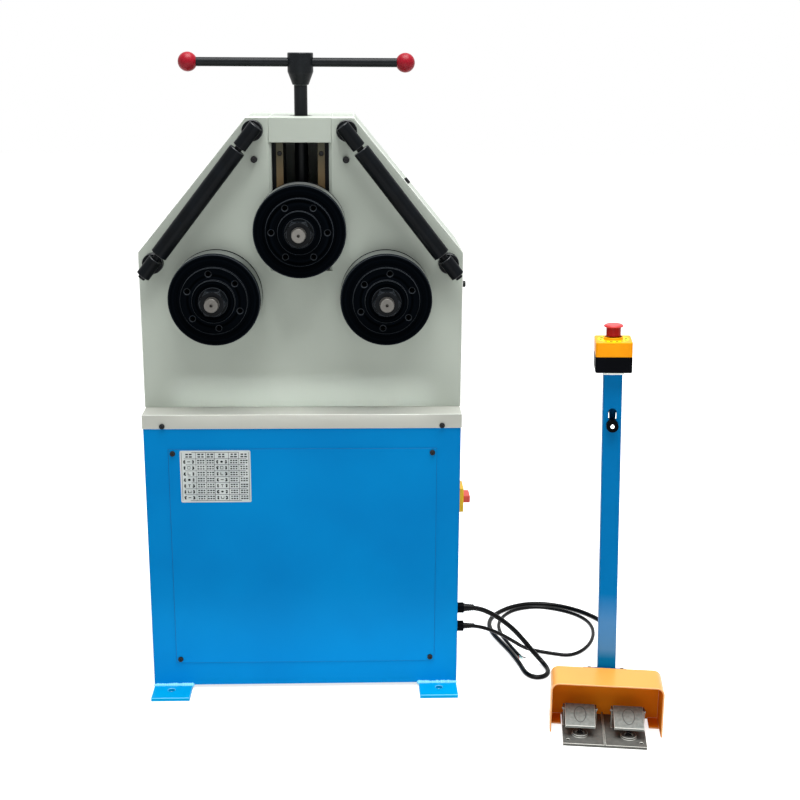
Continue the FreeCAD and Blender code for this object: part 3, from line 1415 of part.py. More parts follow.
def pedal_places():
    return [(side_name, switch_base_shift + sign * pedal_spacing / 2)
            for sign, side_name in ((-1, "left"), (1, "right"))]


def make_hood():
    half = hood_width / 2
    t = hood_sheet
    rear = hood_depth - t
    hood = doc.addObject("PartDesign::Body", "hood_body")
    sketch = new_sketch(hood, "XZ_Plane")
    arch(sketch, half, hood_height, hood_corner)
    pad(hood, sketch, hood_depth, backwards=True)
    sketch = new_sketch(hood, "XZ_Plane")
    arch(sketch, half - t, hood_height - t, hood_corner - t)
    pocket(hood, sketch, rear)
    flaps = [box(t - half, hood_foot_set_back, 0, t - half + hood_foot_width, rear, t),
             box(half - t - hood_foot_width, hood_foot_set_back, 0, half - t, rear, t)]
    tab = box(-bracket_width / 2, rear, bracket_base - t, bracket_width / 2, rear + bracket_bolt_set_back * 2,
              bracket_base)
    holes = [rod("Z", bracket_bolt_radius, t, x, hood_depth + bracket_bolt_set_back, bracket_base - t)
             for x in (-bracket_bolt_x, bracket_bolt_x)]
    holes.append(box(-post_tube, post_set_back - post_tube / 2 - 1, bracket_base - t, post_tube,
                     hood_depth + post_foot_depth, bracket_base))
    name_part(on_post(cut(fuse(hood, tab, *flaps), *holes)), "pedal_hood")


def make_foot_switch():
    make_hood()
    x0 = switch_base_shift - switch_base_width / 2
    x1 = switch_base_shift + switch_base_width / 2
    rear = hood_depth - hood_sheet - sheet_clearance
    floor = switch_base_thickness
    pieces = [box(x0, -switch_base_reach, 0, x1, rear, floor),
              box(switch_base_shift - rib_width / 2, -switch_base_reach, floor,
                  switch_base_shift + rib_width / 2, rear, floor + rib_height)]
    cuts = []
    pins = []
    for x in (x0 + base_hole_inset, x1 - base_hole_inset):
        cuts.append(rod("Z", base_hole_radius, floor, x, base_hole_set_back - switch_base_reach, 0))
    for name, centre in pedal_places():
        seat_top = floor + spring_seat_height
        pieces.append(rod("Z", spring_seat_radius, spring_seat_height, centre, spring_set_back, floor))
        cuts.append(rod("Z", spring_recess_radius, spring_recess_depth, centre, spring_set_back,
                        seat_top - spring_recess_depth))
        for end in (-1, 1):
            near = centre + end * (pedal_width / 2 + ear_gap)
            left = near if end > 0 else near - ear_thickness
            pieces.append(box(left, pivot_set_back - ear_depth / 2, floor, left + ear_thickness,
                              pivot_set_back + ear_depth / 2, pivot_height + ear_rise))
        reach = pedal_width / 2 + ear_gap + ear_thickness + pin_overhang
        pins.append(rod("X", pivot_radius, reach * 2, centre - reach, pivot_set_back, pivot_height))
        cuts.append(rod("X", pivot_radius, reach * 2, centre - reach, pivot_set_back, pivot_height))
    name_part(on_post(cut(fuse(*pieces), *cuts)), "pedal_base")
    on_post(group("pedal_pins", pins))

    for name, centre in pedal_places():
        body = new_body(name + "_pedal")
        sketch = new_sketch(body, "YZ_Plane", centre - pedal_width / 2)
        t = pedal_thickness
        hub = pivot_radius + t
        polygon(sketch, [(pedal_front, pedal_front_height), (pedal_front, pedal_front_height - pedal_lip),
                         (pedal_front + t, pedal_front_height - pedal_lip), (pedal_front + t, pedal_front_height - t),
                         (pivot_set_back - hub, pivot_height), (pivot_set_back - hub / 2, pivot_height - hub),
                         (pivot_set_back + hub / 2, pivot_height - hub), (pivot_set_back + hub, pivot_height),
                         (pedal_back, pedal_back_height - t), (pedal_back, pedal_back_height)])
        circle(sketch, pivot_set_back, pivot_height, pivot_radius + running_clearance)
        pad(body, sketch, pedal_width)
        on_post(body)
        make_spring(name, centre)


def make_spring(name, centre):
    """Compression spring between the seat on the base and the underside of the pedal."""
    foot = switch_base_thickness + spring_seat_height - spring_recess_depth + spring_wire_radius
    helix = doc.addObject("Part::Helix", "helix")
    bind(helix, "Pitch", spring_pitch)
    bind(helix, "Height", spring_pitch * spring_turns)
    bind(helix, "Radius", spring_radius)
    wire = doc.addObject("Part::Circle", "wire")
    bind(wire, "Radius", spring_wire_radius)
    wire.Placement = FreeCAD.Placement(V(0, 0, 0), FreeCAD.Rotation(V(1, 0, 0), 90))
    bind(wire, "Placement.Base.x", spring_radius)
    coil = doc.addObject("Part::Sweep", "coil")
    coil.Sections = [wire]
    coil.Spine = (helix, ["Edge1"])
    coil.Solid = True
    coil.Frenet = True
    place(coil, centre, spring_set_back, foot)
    group(name + "_pedal_spring", [coil])
    on_post(parts[name + "_pedal_spring"])


# ---------------------------------------------------------------- cables


def cable(label, points, radius):
    """A round cable along straight runs joined by tangent arcs."""
    corners = [V(*point) for point in points]
    runs = [(there - here).Length for here, there in zip(corners, corners[1:])]
    path = []
    length = 0
    start = corners[0]
    radii = []
    for number in range(1, len(corners) - 1):
        corner = corners[number]
        towards = (corners[number - 1] - corner).normalize()
        onwards = (corners[number + 1] - corner).normalize()
        turn = math.pi - towards.getAngle(onwards)
        reach = 0.45 * min(runs[number - 1], runs[number])
        bend = reach / math.tan(turn / 2)
        enter = corner + towards * reach
        leave = corner + onwards * reach
        inward = (towards + onwards).normalize()
        middle = corner + inward * (bend / math.cos(turn / 2) - bend)
        path.append(Part.LineSegment(start, enter).toShape())
        path.append(Part.Arc(enter, middle, leave).toShape())
        length += (enter - start).Length + bend * turn
        radii.append(bend)
        start = leave
    path.append(Part.LineSegment(start, corners[-1]).toShape())
    length += (corners[-1] - start).Length
    direction = corners[1] - corners[0]
    section = Part.Wire(Part.makeCircle(radius.value, corners[0], direction))
    tube = Part.Wire(path).makePipeShell([section], True, False)
    print("%s: length %.0f mm, bend radii %s" % (label, length, " ".join("%.0f" % bend for bend in radii)))
    expected = math.pi * radius.value ** 2 * length
    if abs(tube.Volume / expected - 1) > 0.01:
        raise RuntimeError("%s: volume %.0f, expected %.0f" % (label, tube.Volume, expected))
    item = doc.addObject("Part::Feature", label + "_shape")
    item.Shape = tube
    item.Placement = FreeCAD.Placement()
    name_part(item, label)


def make_cables():
    gland_x = (side + gland_reach).value
    gland_y = (front + gland_set_back).value
    turn = math.radians(post_turn.value)
    lean = math.radians(post_lean.value)
    post_back = V(math.sin(-turn), math.cos(turn), 0)
    post_right = V(math.cos(turn), math.sin(turn), 0)
    height = post_gland_height.value
    rear = V(post_x.value, -post_front.value, height * math.cos(lean))
    rear += post_right * (post_foot_shift.value + height * math.sin(lean))
    entry = rear + post_back * (post_set_back + post_tube / 2 + post_gland_reach).value
    approach = entry + post_back * post_cable_run.value
    cable("control_cable", [(gland_x, gland_y, control_gland_height.value),
                            (364, gland_y, control_gland_height.value), (404, -162, 117), (440, -159, 87),
                            (466, -155, 56), (490, -154, 25), (511, -168, 5.3), (516, -204, 5.3),
                            (502, -227, 5.3), (479, -229, 5.3), (464, -209, 5.3), (458, -166, 5.3),
                            (446, -110, 5.3), (428, -54, 5.3), (412, 0, 5.3), (412, 55, 5.3), (437, 102, 5.3),
                            (482, 140, 5.3), (536, 155, 5.3), (592, 138, 5.3), (640, 102, 5.3), (676, 50, 5.3),
                            (688, 0, 5.3), (678, -58, 5.3), (658, -120, 5.3), (640, -180, 5.3), (628, -228, 12),
                            (615, -266, 36), tuple(approach), tuple(entry)], control_cable_radius)
    cable("mains_lead", [(gland_x, gland_y, mains_gland_height.value), (362, gland_y, mains_gland_height.value),
                         (404, -154, 77), (444, -132, 45), (474, -112, 17), (506, -102, 4.1), (540, -116, 4.1),
                         (572, -126, 4.1), (604, -104, 4.1), (632, -60, 4.1), (648, -4, 4.1), (646, 50, 4.1),
                         (622, 92, 4.1), (584, 120, 4.1), (536, 138, 4.1), (484, 124, 4.1), (452, 90, 4.1),
                         (434, 46, 4.1), (432, 0, 4.1), (441, -50, 4.1), (462, -124, 4.1)], mains_lead_radius)


make_cabinet()
make_head()
make_bearings()
make_screws()
make_slide()
make_screw()
make_rollers()
make_gears()
make_drive()
make_guides()
make_electrics()
make_post()
make_foot_switch()
make_cables()

doc.recompute()

# ---------------------------------------------------------------- checks and export

for item in doc.Objects:
    faults = [word for word in item.State if word in ("Invalid", "Error")]
    if faults:
        raise RuntimeError("%s (%s) is %s" % (item.Label, item.Name, faults))
for label, item in parts.items():
    if item.Shape.isNull() or not item.Shape.isValid() or not item.Shape.Solids:
        raise RuntimeError("%s has no valid solid" % label)

os.makedirs("parts", exist_ok=True)
for label, item in parts.items():
    item.Shape.exportStep("parts/%s.step" % label)
    bounds = item.Shape.BoundBox
    print("%-20s %2d solids  volume %12.1f  x %.1f..%.1f  y %.1f..%.1f  z %.1f..%.1f" % (
        label, len(item.Shape.Solids), item.Shape.Volume, bounds.XMin, bounds.XMax, bounds.YMin, bounds.YMax,
        bounds.ZMin, bounds.ZMax))
print("%d parts" % len(parts))
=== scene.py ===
# %% [markdown]
# # A ring roller on its cabinet
# This machine bends flat bar, tube and angle into rings. Two driven rollers sit side by side in a steel
# head, a third is fed down between them by a hand screw, and a foot switch on a long cable starts the
# motor. The measured parts come from a CAD model. Here each one gets its edges, its finish and the small
# pieces that make it look like a machine that someone has painted, assembled and used.
# Everything is in metres, with the floor at z = 0 and the operator standing at negative y.

# %% Load the measured machine
import json
import math

import bmesh
import bpy
from mathutils import Matrix, Vector

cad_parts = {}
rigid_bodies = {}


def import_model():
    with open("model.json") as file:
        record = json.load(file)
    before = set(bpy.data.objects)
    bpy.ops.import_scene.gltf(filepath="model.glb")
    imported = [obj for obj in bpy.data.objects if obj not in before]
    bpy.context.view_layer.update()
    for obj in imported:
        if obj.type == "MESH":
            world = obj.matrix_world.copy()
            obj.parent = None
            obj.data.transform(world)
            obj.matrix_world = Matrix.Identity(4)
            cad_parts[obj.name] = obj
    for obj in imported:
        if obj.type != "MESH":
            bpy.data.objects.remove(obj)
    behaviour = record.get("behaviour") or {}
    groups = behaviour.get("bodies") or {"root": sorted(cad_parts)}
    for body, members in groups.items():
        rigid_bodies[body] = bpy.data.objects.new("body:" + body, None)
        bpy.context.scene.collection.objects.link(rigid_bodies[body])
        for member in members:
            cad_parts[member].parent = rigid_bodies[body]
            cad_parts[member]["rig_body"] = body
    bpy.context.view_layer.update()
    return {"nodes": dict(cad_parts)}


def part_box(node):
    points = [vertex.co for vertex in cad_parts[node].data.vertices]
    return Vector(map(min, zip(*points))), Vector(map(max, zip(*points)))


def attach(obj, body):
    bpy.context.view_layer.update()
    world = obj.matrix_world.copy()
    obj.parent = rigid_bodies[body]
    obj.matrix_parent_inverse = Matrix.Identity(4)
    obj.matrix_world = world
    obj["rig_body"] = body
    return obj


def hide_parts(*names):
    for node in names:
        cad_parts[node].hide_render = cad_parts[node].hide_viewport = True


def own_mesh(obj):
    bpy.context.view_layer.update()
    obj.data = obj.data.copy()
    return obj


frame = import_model()
nodes = frame["nodes"]

MM = 0.001

# %% [markdown]
# ## Two small tools for materials
# A finish is chosen in the way that a paint shop does it, from a swatch. Swatches are written as hex
# codes, which are sRGB, while the renderer adds light in linear numbers, so one function converts them.
# The other adds a node, sets it up and links it, which keeps each finish below down to a few lines.

# %% Swatches and nodes


def swatch(code):
    """A hex colour as the linear red, green, blue and alpha that the renderer uses."""
    parts = [int(code[place:place + 2], 16) / 255 for place in (1, 3, 5)]
    return [part / 12.92 if part <= 0.04045 else ((part + 0.055) / 1.055) ** 2.4 for part in parts] + [1]


def add(tree, kind, inputs=None, **settings):
    """Add a node. An input that is a socket is linked, and anything else is set as its value."""
    node = tree.nodes.new(kind)
    for name, value in settings.items():
        setattr(node, name, value)
    for name, value in (inputs or {}).items():
        if isinstance(value, bpy.types.NodeSocket):
            tree.links.new(value, node.inputs[name])
        else:
            node.inputs[name].default_value = value
    return node


# %% [markdown]
# ## Camera
# A product photographer stands two and a half metres in front of the rollers, just above the handle, and
# looks down by fifteen degrees, so that the top of the tray shows as a thin strip. The camera is built
# from its three own directions, which is easier to check than a set of Euler angles. One helper puts it
# in the scene, as it does every later object.

# %% Camera


def in_scene(name, data):
    """A new object in the scene, made of a mesh, a curve, a lamp or a camera."""
    thing = bpy.data.objects.new(name, data)
    bpy.context.scene.collection.objects.link(thing)
    return thing


camera_place = Vector((0.09935, -2.7456, 1.2861))
camera_yaw, camera_pitch, camera_roll = (math.radians(angle) for angle in (2.132, 14.959, 0.347))
camera_lens = 59.04

ahead = Vector((math.sin(camera_yaw) * math.cos(camera_pitch), math.cos(camera_yaw) * math.cos(camera_pitch),
                -math.sin(camera_pitch)))
level = Vector((math.cos(camera_yaw), -math.sin(camera_yaw), 0))
above = level.cross(ahead)
right = level * math.cos(camera_roll) + above * math.sin(camera_roll)
up = above * math.cos(camera_roll) - level * math.sin(camera_roll)

camera = in_scene("camera", bpy.data.cameras.new("camera"))
camera.data.lens = camera_lens
camera.matrix_world = Matrix.Translation(camera_place) @ Matrix((right, up, -ahead)).transposed().to_4x4()
bpy.context.scene.camera = camera
bpy.context.scene.view_settings.view_transform = "Standard"
print("camera looks along", [round(part, 3) for part in ahead])

# %% [markdown]
# ## Studio
# The machine stands on a white sweep under large soft boxes. The world is white only where the lens or a
# polished surface looks at it, and weaker where it lights the paint, so that metal has something bright
# to mirror while colours come out close to their swatches. The paper does the same: it adds white only
# for the lens, and keeps the shadow. It adds more with distance, as a sweep that curves up towards a lit
# wall does, so that no horizon shows behind the machine. Two thin strips stand close by, as bounce cards
# would: one lights the foot of the cabinet, the other the tray under the rollers.

# %% World, floor and lamps
world = bpy.data.worlds.new("studio")
world.use_nodes = True
world.node_tree.nodes.clear()
bpy.context.scene.world = world

white = (1, 1, 1, 1)
ambient_level = 0.24
floor_white = "#CFCFCD"
near_glow, far_glow = 0.75, 1.0
near_distance, far_distance = 0.8, 2.2


def seen_directly(tree):
    """1 where the lens, a reflection or a clear material looks, and 0 for light that falls on paint."""
    path = add(tree, "ShaderNodeLightPath").outputs
    seen = path["Is Camera Ray"]
    for other in ("Is Glossy Ray", "Is Transmission Ray"):
        seen = add(tree, "ShaderNodeMath", {0: seen, 1: path[other]}, operation="MAXIMUM").outputs[0]
    return seen


tree = world.node_tree
level_now = add(tree, "ShaderNodeMapRange", {"Value": seen_directly(tree), "To Min": ambient_level})
backdrop = add(tree, "ShaderNodeBackground", {"Color": white, "Strength": level_now.outputs[0]})
add(tree, "ShaderNodeOutputWorld", {"Surface": backdrop.outputs[0]})

floor_paint = bpy.data.materials.new("white paper sweep")
floor_paint.use_nodes = True
tree = floor_paint.node_tree
tree.nodes.clear()
spot = add(tree, "ShaderNodeTexCoord")
away = add(tree, "ShaderNodeVectorMath", {0: spot.outputs["Object"]}, operation="LENGTH")
rise = add(tree, "ShaderNodeMapRange", {"Value": away.outputs["Value"], "From Min": near_distance,
                                        "From Max": far_distance, "To Min": near_glow, "To Max": far_glow})
glow = add(tree, "ShaderNodeMath", {0: seen_directly(tree), 1: rise.outputs[0]}, operation="MULTIPLY")
paper = add(tree, "ShaderNodeBsdfDiffuse", {"Color": swatch(floor_white)})
lit = add(tree, "ShaderNodeEmission", {"Color": white, "Strength": glow.outputs[0]})
both = add(tree, "ShaderNodeAddShader", {0: paper.outputs[0], 1: lit.outputs[0]})
add(tree, "ShaderNodeOutputMaterial", {"Surface": both.outputs[0]})

floor_half = 14
floor_corners = [(x * floor_half, y * floor_half, 0) for x, y in ((-1, -1), (1, -1), (1, 1), (-1, 1))]
floor_mesh = bpy.data.meshes.new("floor")
floor_mesh.from_pydata(floor_corners, [], [(0, 1, 2, 3)])
floor_mesh.materials.append(floor_paint)
floor = in_scene("floor", floor_mesh)


def soft_box(name, place, target, width, watts, tall=None, spread=180):
    """A rectangular lamp that looks at its target. A spread below 180 degrees narrows its beam."""
    lamp = bpy.data.lights.new(name, "AREA")
    lamp.shape = "RECTANGLE"
    lamp.size, lamp.size_y = width, tall or width
    lamp.energy = watts
    lamp.spread = math.radians(spread)
    holder = in_scene(name, lamp)
    holder.location = place
    holder.rotation_mode = "QUATERNION"
    holder.rotation_quaternion = (Vector(target) - Vector(place)).to_track_quat("-Z", "Y")


machine_middle = (0.1, -0.1, 0.7)
soft_box("soft box front left", (-1.9, -2.6, 2.2), machine_middle, 1.6, 5)
soft_box("soft box front right", (2.4, -2.2, 2.0), machine_middle, 1.6, 5)
soft_box("soft box overhead", (0.4, -1.0, 5.0), machine_middle, 3.4, 390)
soft_box("soft box low front", (0.1, -2.3, 0.5), (0.1, -0.25, 0.3), 1.2, 5)
soft_box("strip at the floor", (-0.02, -0.75, 0.03), (-0.02, -0.25, 0.05), 0.8, 0.15, tall=0.04, spread=40)
soft_box("strip at the tray", (0.0, -0.50, 0.66), (0.0, -0.19, 0.605), 0.5, 0.055, tall=0.02, spread=22)
print("lamps:", [lamp.name for lamp in bpy.data.lights])

# %% [markdown]
# ## Finishes
# A finish is a base colour, how rough it is, and the small faults that tell the eye how it was made. The
# faults are patterns in real millimetres, read from Object coordinates, which are the machine's own
# metres because every piece has its origin there. A few tools serve every finish below: one starts it,
# one sets its colour between two others, one makes soft patches of a given size, and two use the patches,
# to let the colour wander and to press a fine grain into the surface.

# %% A shared start for every finish


def finish(name, colour, roughness, metallic=0.0, specular=0.5):
    """A principled material. Returns it with its tree, its shader and the Object coordinates."""
    material = bpy.data.materials.new(name)
    material.use_nodes = True
    tree = material.node_tree
    tree.nodes.clear()
    shader = add(tree, "ShaderNodeBsdfPrincipled", {"Base Color": swatch(colour), "Roughness": roughness,
                                                    "Metallic": metallic, "Specular IOR Level": specular})
    add(tree, "ShaderNodeOutputMaterial", {"Surface": shader.outputs[0]})
    place = add(tree, "ShaderNodeTexCoord").outputs["Object"]
    return material, tree, shader, place


def tint(tree, shader, share, first, second):
    """Set a colour between two, each a swatch's code or a socket. Returns the socket of the new colour."""
    first, second = (swatch(colour) if isinstance(colour, str) else colour for colour in (first, second))
    mixed = add(tree, "ShaderNodeMix", {0: share, 6: first, 7: second}, data_type="RGBA").outputs[2]
    tree.links.new(mixed, shader.inputs["Base Color"])
    return mixed


def noise(tree, place, size, detail, stretch=(1, 1, 1)):
    """Soft patches of about this size, from 0 to 1. They are longer where stretch is below 1."""
    where = add(tree, "ShaderNodeMapping", {"Vector": place, "Scale": stretch}).outputs[0]
    patches = add(tree, "ShaderNodeTexNoise", {"Vector": where, "Scale": 1 / size, "Detail": detail})
    return patches.outputs["Fac"]


def wander(tree, shader, place, size, first, second, detail=3):
    """Let the colour go to and fro between two swatches, in patches of about this size."""
    patches = noise(tree, place, size, detail)
    share = add(tree, "ShaderNodeMapRange", {"Value": patches, "From Min": 0.3, "From Max": 0.7}).outputs[0]
    tint(tree, shader, share, first, second)
    return share


def grain(tree, shader, place, size, depth, stretch=(1, 1, 1)):
    """Bumps of about this size and depth, both in metres."""
    bumps = noise(tree, place, size, 2, stretch)
    press = add(tree, "ShaderNodeBump", {"Height": bumps, "Distance": depth})
    tree.links.new(press.outputs[0], shader.inputs["Normal"])


# %% [markdown]
# ### Enamels
# The cabinet, the head and the hood are sheet steel under two coats of sprayed enamel. Sprayed paint is
# never optically flat: it dries to a faint orange peel with grains of about two millimetres, drawn here
# as coarse as four so that it shows from this distance. The colour drifts by a shade or so across a
# panel, because no coat is even. Paint draws back from a sharp edge as it dries, so every enamel has a
# thinner partner for the broken edges: most are drawn lighter as a painted highlight along the edge, and
# the seam and post partners darker as painted shade. The feet take a lighter copy of the blue as painted
# light, and the post a darker copy as painted shade. The post is paler in a band just above the hood.

# %% Enamels


def enamel(name, light, dark, roughness, specular):
    drift, peel, peel_depth = 220 * MM, 4 * MM, 0.02 * MM
    material, tree, shader, place = finish(name, light, roughness, specular=specular)
    wander(tree, shader, place, drift, dark, light, detail=2)
    grain(tree, shader, place, peel, peel_depth)
    return material


blue_enamel = enamel("blue machine enamel", "#0082C6", "#0078BC", 0.40, 0.03)
# The feet take a lighter copy of the machine blue: painted light.
foot_enamel_lit = enamel("blue enamel on the feet", "#009CD2", "#0092C8", 0.40, 0.03)
# The post takes a darker copy of the machine blue: painted shade.
post_enamel_shade = enamel("blue post enamel", "#0076B8", "#006EAC", 0.40, 0.03)
grey_enamel = enamel("grey green machine enamel", "#B4BCB2", "#ACB4AA", 0.42, 0.2)
lip_enamel = enamel("grey machine enamel on the tray", "#B6B8B0", "#AEB0A8", 0.42, 0.25)
orange_enamel = enamel("orange hood enamel", "#F6A63C", "#F29E34", 0.30, 1.0)
# A darker, matt copy of the hood orange for the inside faces: painted shade.
orange_inside_shade = enamel("matt orange enamel inside the hood", "#F08C1C", "#EC8414", 0.6, 0.02)
motor_enamel = enamel("dark grey motor enamel", "#5C6266", "#50565A", 0.45, 0.3)

# The post is paler in a band just above the hood.
tree = post_enamel_shade.node_tree
shader = tree.nodes["Principled BSDF"]
unbanded_paint = shader.inputs["Base Color"].links[0].from_socket
height = add(tree, "ShaderNodeSeparateXYZ", {0: add(tree, "ShaderNodeTexCoord").outputs["Object"]})
fades = [add(tree, "ShaderNodeMapRange", {"Value": height.outputs["Z"], "From Min": plain_mm * MM,
                                          "From Max": pale_mm * MM}).outputs[0]
         for plain_mm, pale_mm in ((260, 200), (122, 142))]
pale_band = add(tree, "ShaderNodeMath", {0: fades[0], 1: fades[1]}, operation="MULTIPLY").outputs[0]
tint(tree, shader, pale_band, unbanded_paint, "#4F8BC2")

# Edge partners: thin paint on an edge, drawn lighter than the enamel as a painted highlight.
blue_edge_highlight = finish("blue enamel thin on an edge", "#4FB2E4", 0.3, specular=0.5)[0]
# Painted shade along the edges of the access panel, drawn as a darker blue.
blue_seam_shade = finish("blue enamel in a cut seam", "#0B5F96", 0.4, specular=0.15)[0]
# Painted shade along the post's edges, drawn as a darker blue.
post_edge_shade = finish("post enamel worn on an edge", "#0C5688", 0.35, specular=0.2)[0]
grey_edge_highlight = finish("grey enamel thin on an edge", "#E8ECE6", 0.35, specular=0.4)[0]
orange_edge_highlight = finish("orange enamel thin on an edge", "#F2B27C", 0.35, specular=0.3)[0]
print("enamels made:", len(bpy.data.materials))

# %% [markdown]
# ### Steel that has been blackened, turned or ground
# Rollers, nuts and guide arms are dipped in hot salts, which leave a thin blue-black oxide that still
# shows the marks of the lathe. Those marks are rings about the axis of each piece, so the pattern is
# noise along the distance from that axis. The rim of each roller's middle disc is ground bright again.
# Black oxide is oiled and absorbs nearly all light, so its colour and its specular level are both low.
# On corners it rubs through to duller or brighter steel, and these edge finishes are also drawn lighter
# than the oxide as a painted highlight, which draws the thin arcs on the rollers.

# %% Blackened and bright steel


def turning_marks(tree, place, centre, pitch):
    """Uneven rings about an axis that runs along y through this centre.

    The centre's own depth stays in the length, so the rings are wider apart towards the axis.
    """
    moved = add(tree, "ShaderNodeMapping", {"Vector": place, "Location": [-part for part in centre],
                                            "Scale": (1, 0, 1)})
    radius = add(tree, "ShaderNodeVectorMath", {0: moved.outputs[0]}, operation="LENGTH")
    steps = add(tree, "ShaderNodeMath", {0: radius.outputs["Value"], 1: 1 / pitch}, operation="MULTIPLY")
    return add(tree, "ShaderNodeTexNoise", {"W": steps.outputs[0], "Scale": 1.0, "Detail": 3},
               noise_dimensions="1D").outputs["Fac"]


def black_oxide(name, light, dark, roughness, specular):
    material, tree, shader, place = finish(name, dark, roughness, specular=specular)
    wander(tree, shader, place, 30 * MM, dark, light, detail=4)
    grain(tree, shader, place, 1.5 * MM, 0.03 * MM)
    return material


def roller_steel(name, centre):
    material, tree, shader, place = finish(name, "#030406", 0.38, specular=0.0)
    marks = turning_marks(tree, place, centre, 1.6 * MM)
    share = add(tree, "ShaderNodeMapRange", {"Value": marks, "From Min": 0.3, "From Max": 0.75})
    black = tint(tree, shader, share.outputs[0], "#010203", "#090D12")
    depth = add(tree, "ShaderNodeSeparateXYZ", {0: place}).outputs["Y"]
    core_front, core_back = -260 * MM, -215 * MM
    middle, reach = (core_front + core_back) / 2, (core_back - core_front) / 2
    away = add(tree, "ShaderNodeMath", {0: depth, 1: middle}, operation="SUBTRACT")
    away = add(tree, "ShaderNodeMath", {0: away.outputs[0]}, operation="ABSOLUTE")
    ground = add(tree, "ShaderNodeMath", {0: away.outputs[0], 1: reach}, operation="LESS_THAN").outputs[0]
    tint(tree, shader, ground, black, "#A2A6A4")
    tree.links.new(ground, shader.inputs["Metallic"])
    press = add(tree, "ShaderNodeBump", {"Height": marks, "Distance": 0.05 * MM})
    tree.links.new(press.outputs[0], shader.inputs["Normal"])
    return material


def bright_steel(name, light, dark, roughness):
    material, tree, shader, place = finish(name, light, roughness, metallic=1.0)
    patches = wander(tree, shader, place, 2 * MM, dark, light)
    rough = add(tree, "ShaderNodeMapRange", {"Value": patches, "To Min": roughness - 0.08,
                                             "To Max": roughness + 0.1})
    tree.links.new(rough.outputs[0], shader.inputs["Roughness"])
    return material


black_steel = black_oxide("black oxide steel", "#12161A", "#090B0E", 0.34, 0.05)
bar_steel = black_oxide("black oxide handle steel", "#15191C", "#0B0E10", 0.36, 0.12)
sleeve_steel = black_oxide("black oxide sleeve steel", "#0C1014", "#07090B", 0.34, 0.06)
dark_screw = black_oxide("black oxide screw heads", "#0B0D10", "#050608", 0.38, 0.2)
# Rubbed edges, drawn lighter than the oxide: partly wear, partly a painted highlight.
burnished_edge_highlight = finish("rubbed black steel edge", "#22262A", 0.3, specular=0.5)[0]
rubbed_rim_highlight = finish("dull rubbed rim of a roller", "#2C3034", 0.6, specular=0.04)[0]
# A pale rim on bolt heads: partly rubbed metal, partly a painted highlight.
screw_edge_highlight = finish("rubbed screw head edge", "#B4BEC4", 0.3, specular=0.6)[0]


def shaft_steel(name, centre):
    """A faced shaft end, with rings from the tool."""
    material, tree, shader, place = finish(name, "#7A7874", 0.36, metallic=0.8)
    tint(tree, shader, turning_marks(tree, place, centre, 1.1 * MM), "#3A3936", "#6C6A66")
    return material


turned_steel = bright_steel("turned bright steel", "#9A9894", "#767572", 0.3)
spring_steel = bright_steel("dark spring steel", "#28292A", "#1A1B1C", 0.48)
gear_steel = bright_steel("milled gear steel", "#9EA0A0", "#7E8182", 0.38)
chrome = finish("chrome plate", "#E4E6E8", 0.12, metallic=1.0)[0]
roller_finishes, shaft_finishes = {}, {}
for name in ("left", "right", "top"):
    low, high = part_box(name + "_shaft")
    axis_point = (low + high) / 2
    roller_finishes[name] = roller_steel("turned black roller steel " + name, axis_point)
    shaft_finishes[name] = shaft_steel("faced shaft steel " + name, axis_point)
print("steels made:", len(bpy.data.materials))

# %% [markdown]
# ### Zinc castings, bronze, plastics and rubber
# The pedals and their base are zinc castings, tumbled to a dull grey. The strips that the slide runs on
# are bronze gone brown with oil, and darker towards the top as a painted shadow of the top block above
# them. Plastics are moulded, so they are even in colour and take a soft highlight; the plunger of the
# stop button is drawn a darker red than its cap as painted shade. The cable jacket is black rubber,
# smooth enough to carry a thin line of light along its top.

# %% Castings, bronze and plastics
cast_grey, tree, shader, place = finish("tumbled zinc casting", "#7A807C", 0.5, specular=0.3)
wander(tree, shader, place, 6 * MM, "#6C716E", "#858A86", detail=4)
grain(tree, shader, place, 1.4 * MM, 0.12 * MM)
base_grey, tree, shader, place = finish("dull zinc base plate", "#5B5B57", 0.5, specular=0.2)
wander(tree, shader, place, 9 * MM, "#52524F", "#61615D", detail=4)
# A pale edge on the castings: partly rubbed metal, partly a painted highlight.
cast_edge_highlight = finish("rubbed casting edge", "#C0C0B8", 0.4, metallic=0.2)[0]

bronze, tree, shader, place = finish("oiled slide bronze", "#56452A", 0.42, metallic=0.5)
# The strips darken towards the top: a painted shadow of the top block.
unshaded_below, painted_shadow_above = 1020 * MM, 1100 * MM
height = add(tree, "ShaderNodeSeparateXYZ", {0: place}).outputs["Z"]
share = add(tree, "ShaderNodeMapRange", {"Value": height, "From Min": unshaded_below, "From Max": painted_shadow_above})
tint(tree, shader, share.outputs[0], "#655132", "#2E2D1C")
grain(tree, shader, place, 1.5 * MM, 0.04 * MM, stretch=(1, 1, 0.08))


def plastic(name, light, dark, roughness, specular=0.4):
    material, tree, shader, place = finish(name, light, roughness, specular=specular)
    wander(tree, shader, place, 40 * MM, dark, light, detail=2)
    return material


red_plastic = plastic("gloss red knob plastic", "#92081E", "#88061A", 0.36, specular=0.2)
handle_red = plastic("red switch handle plastic", "#D8402C", "#CE3A28", 0.3)
stop_red = plastic("red stop button plastic", "#D02A2E", "#C62428", 0.3, specular=0.5)
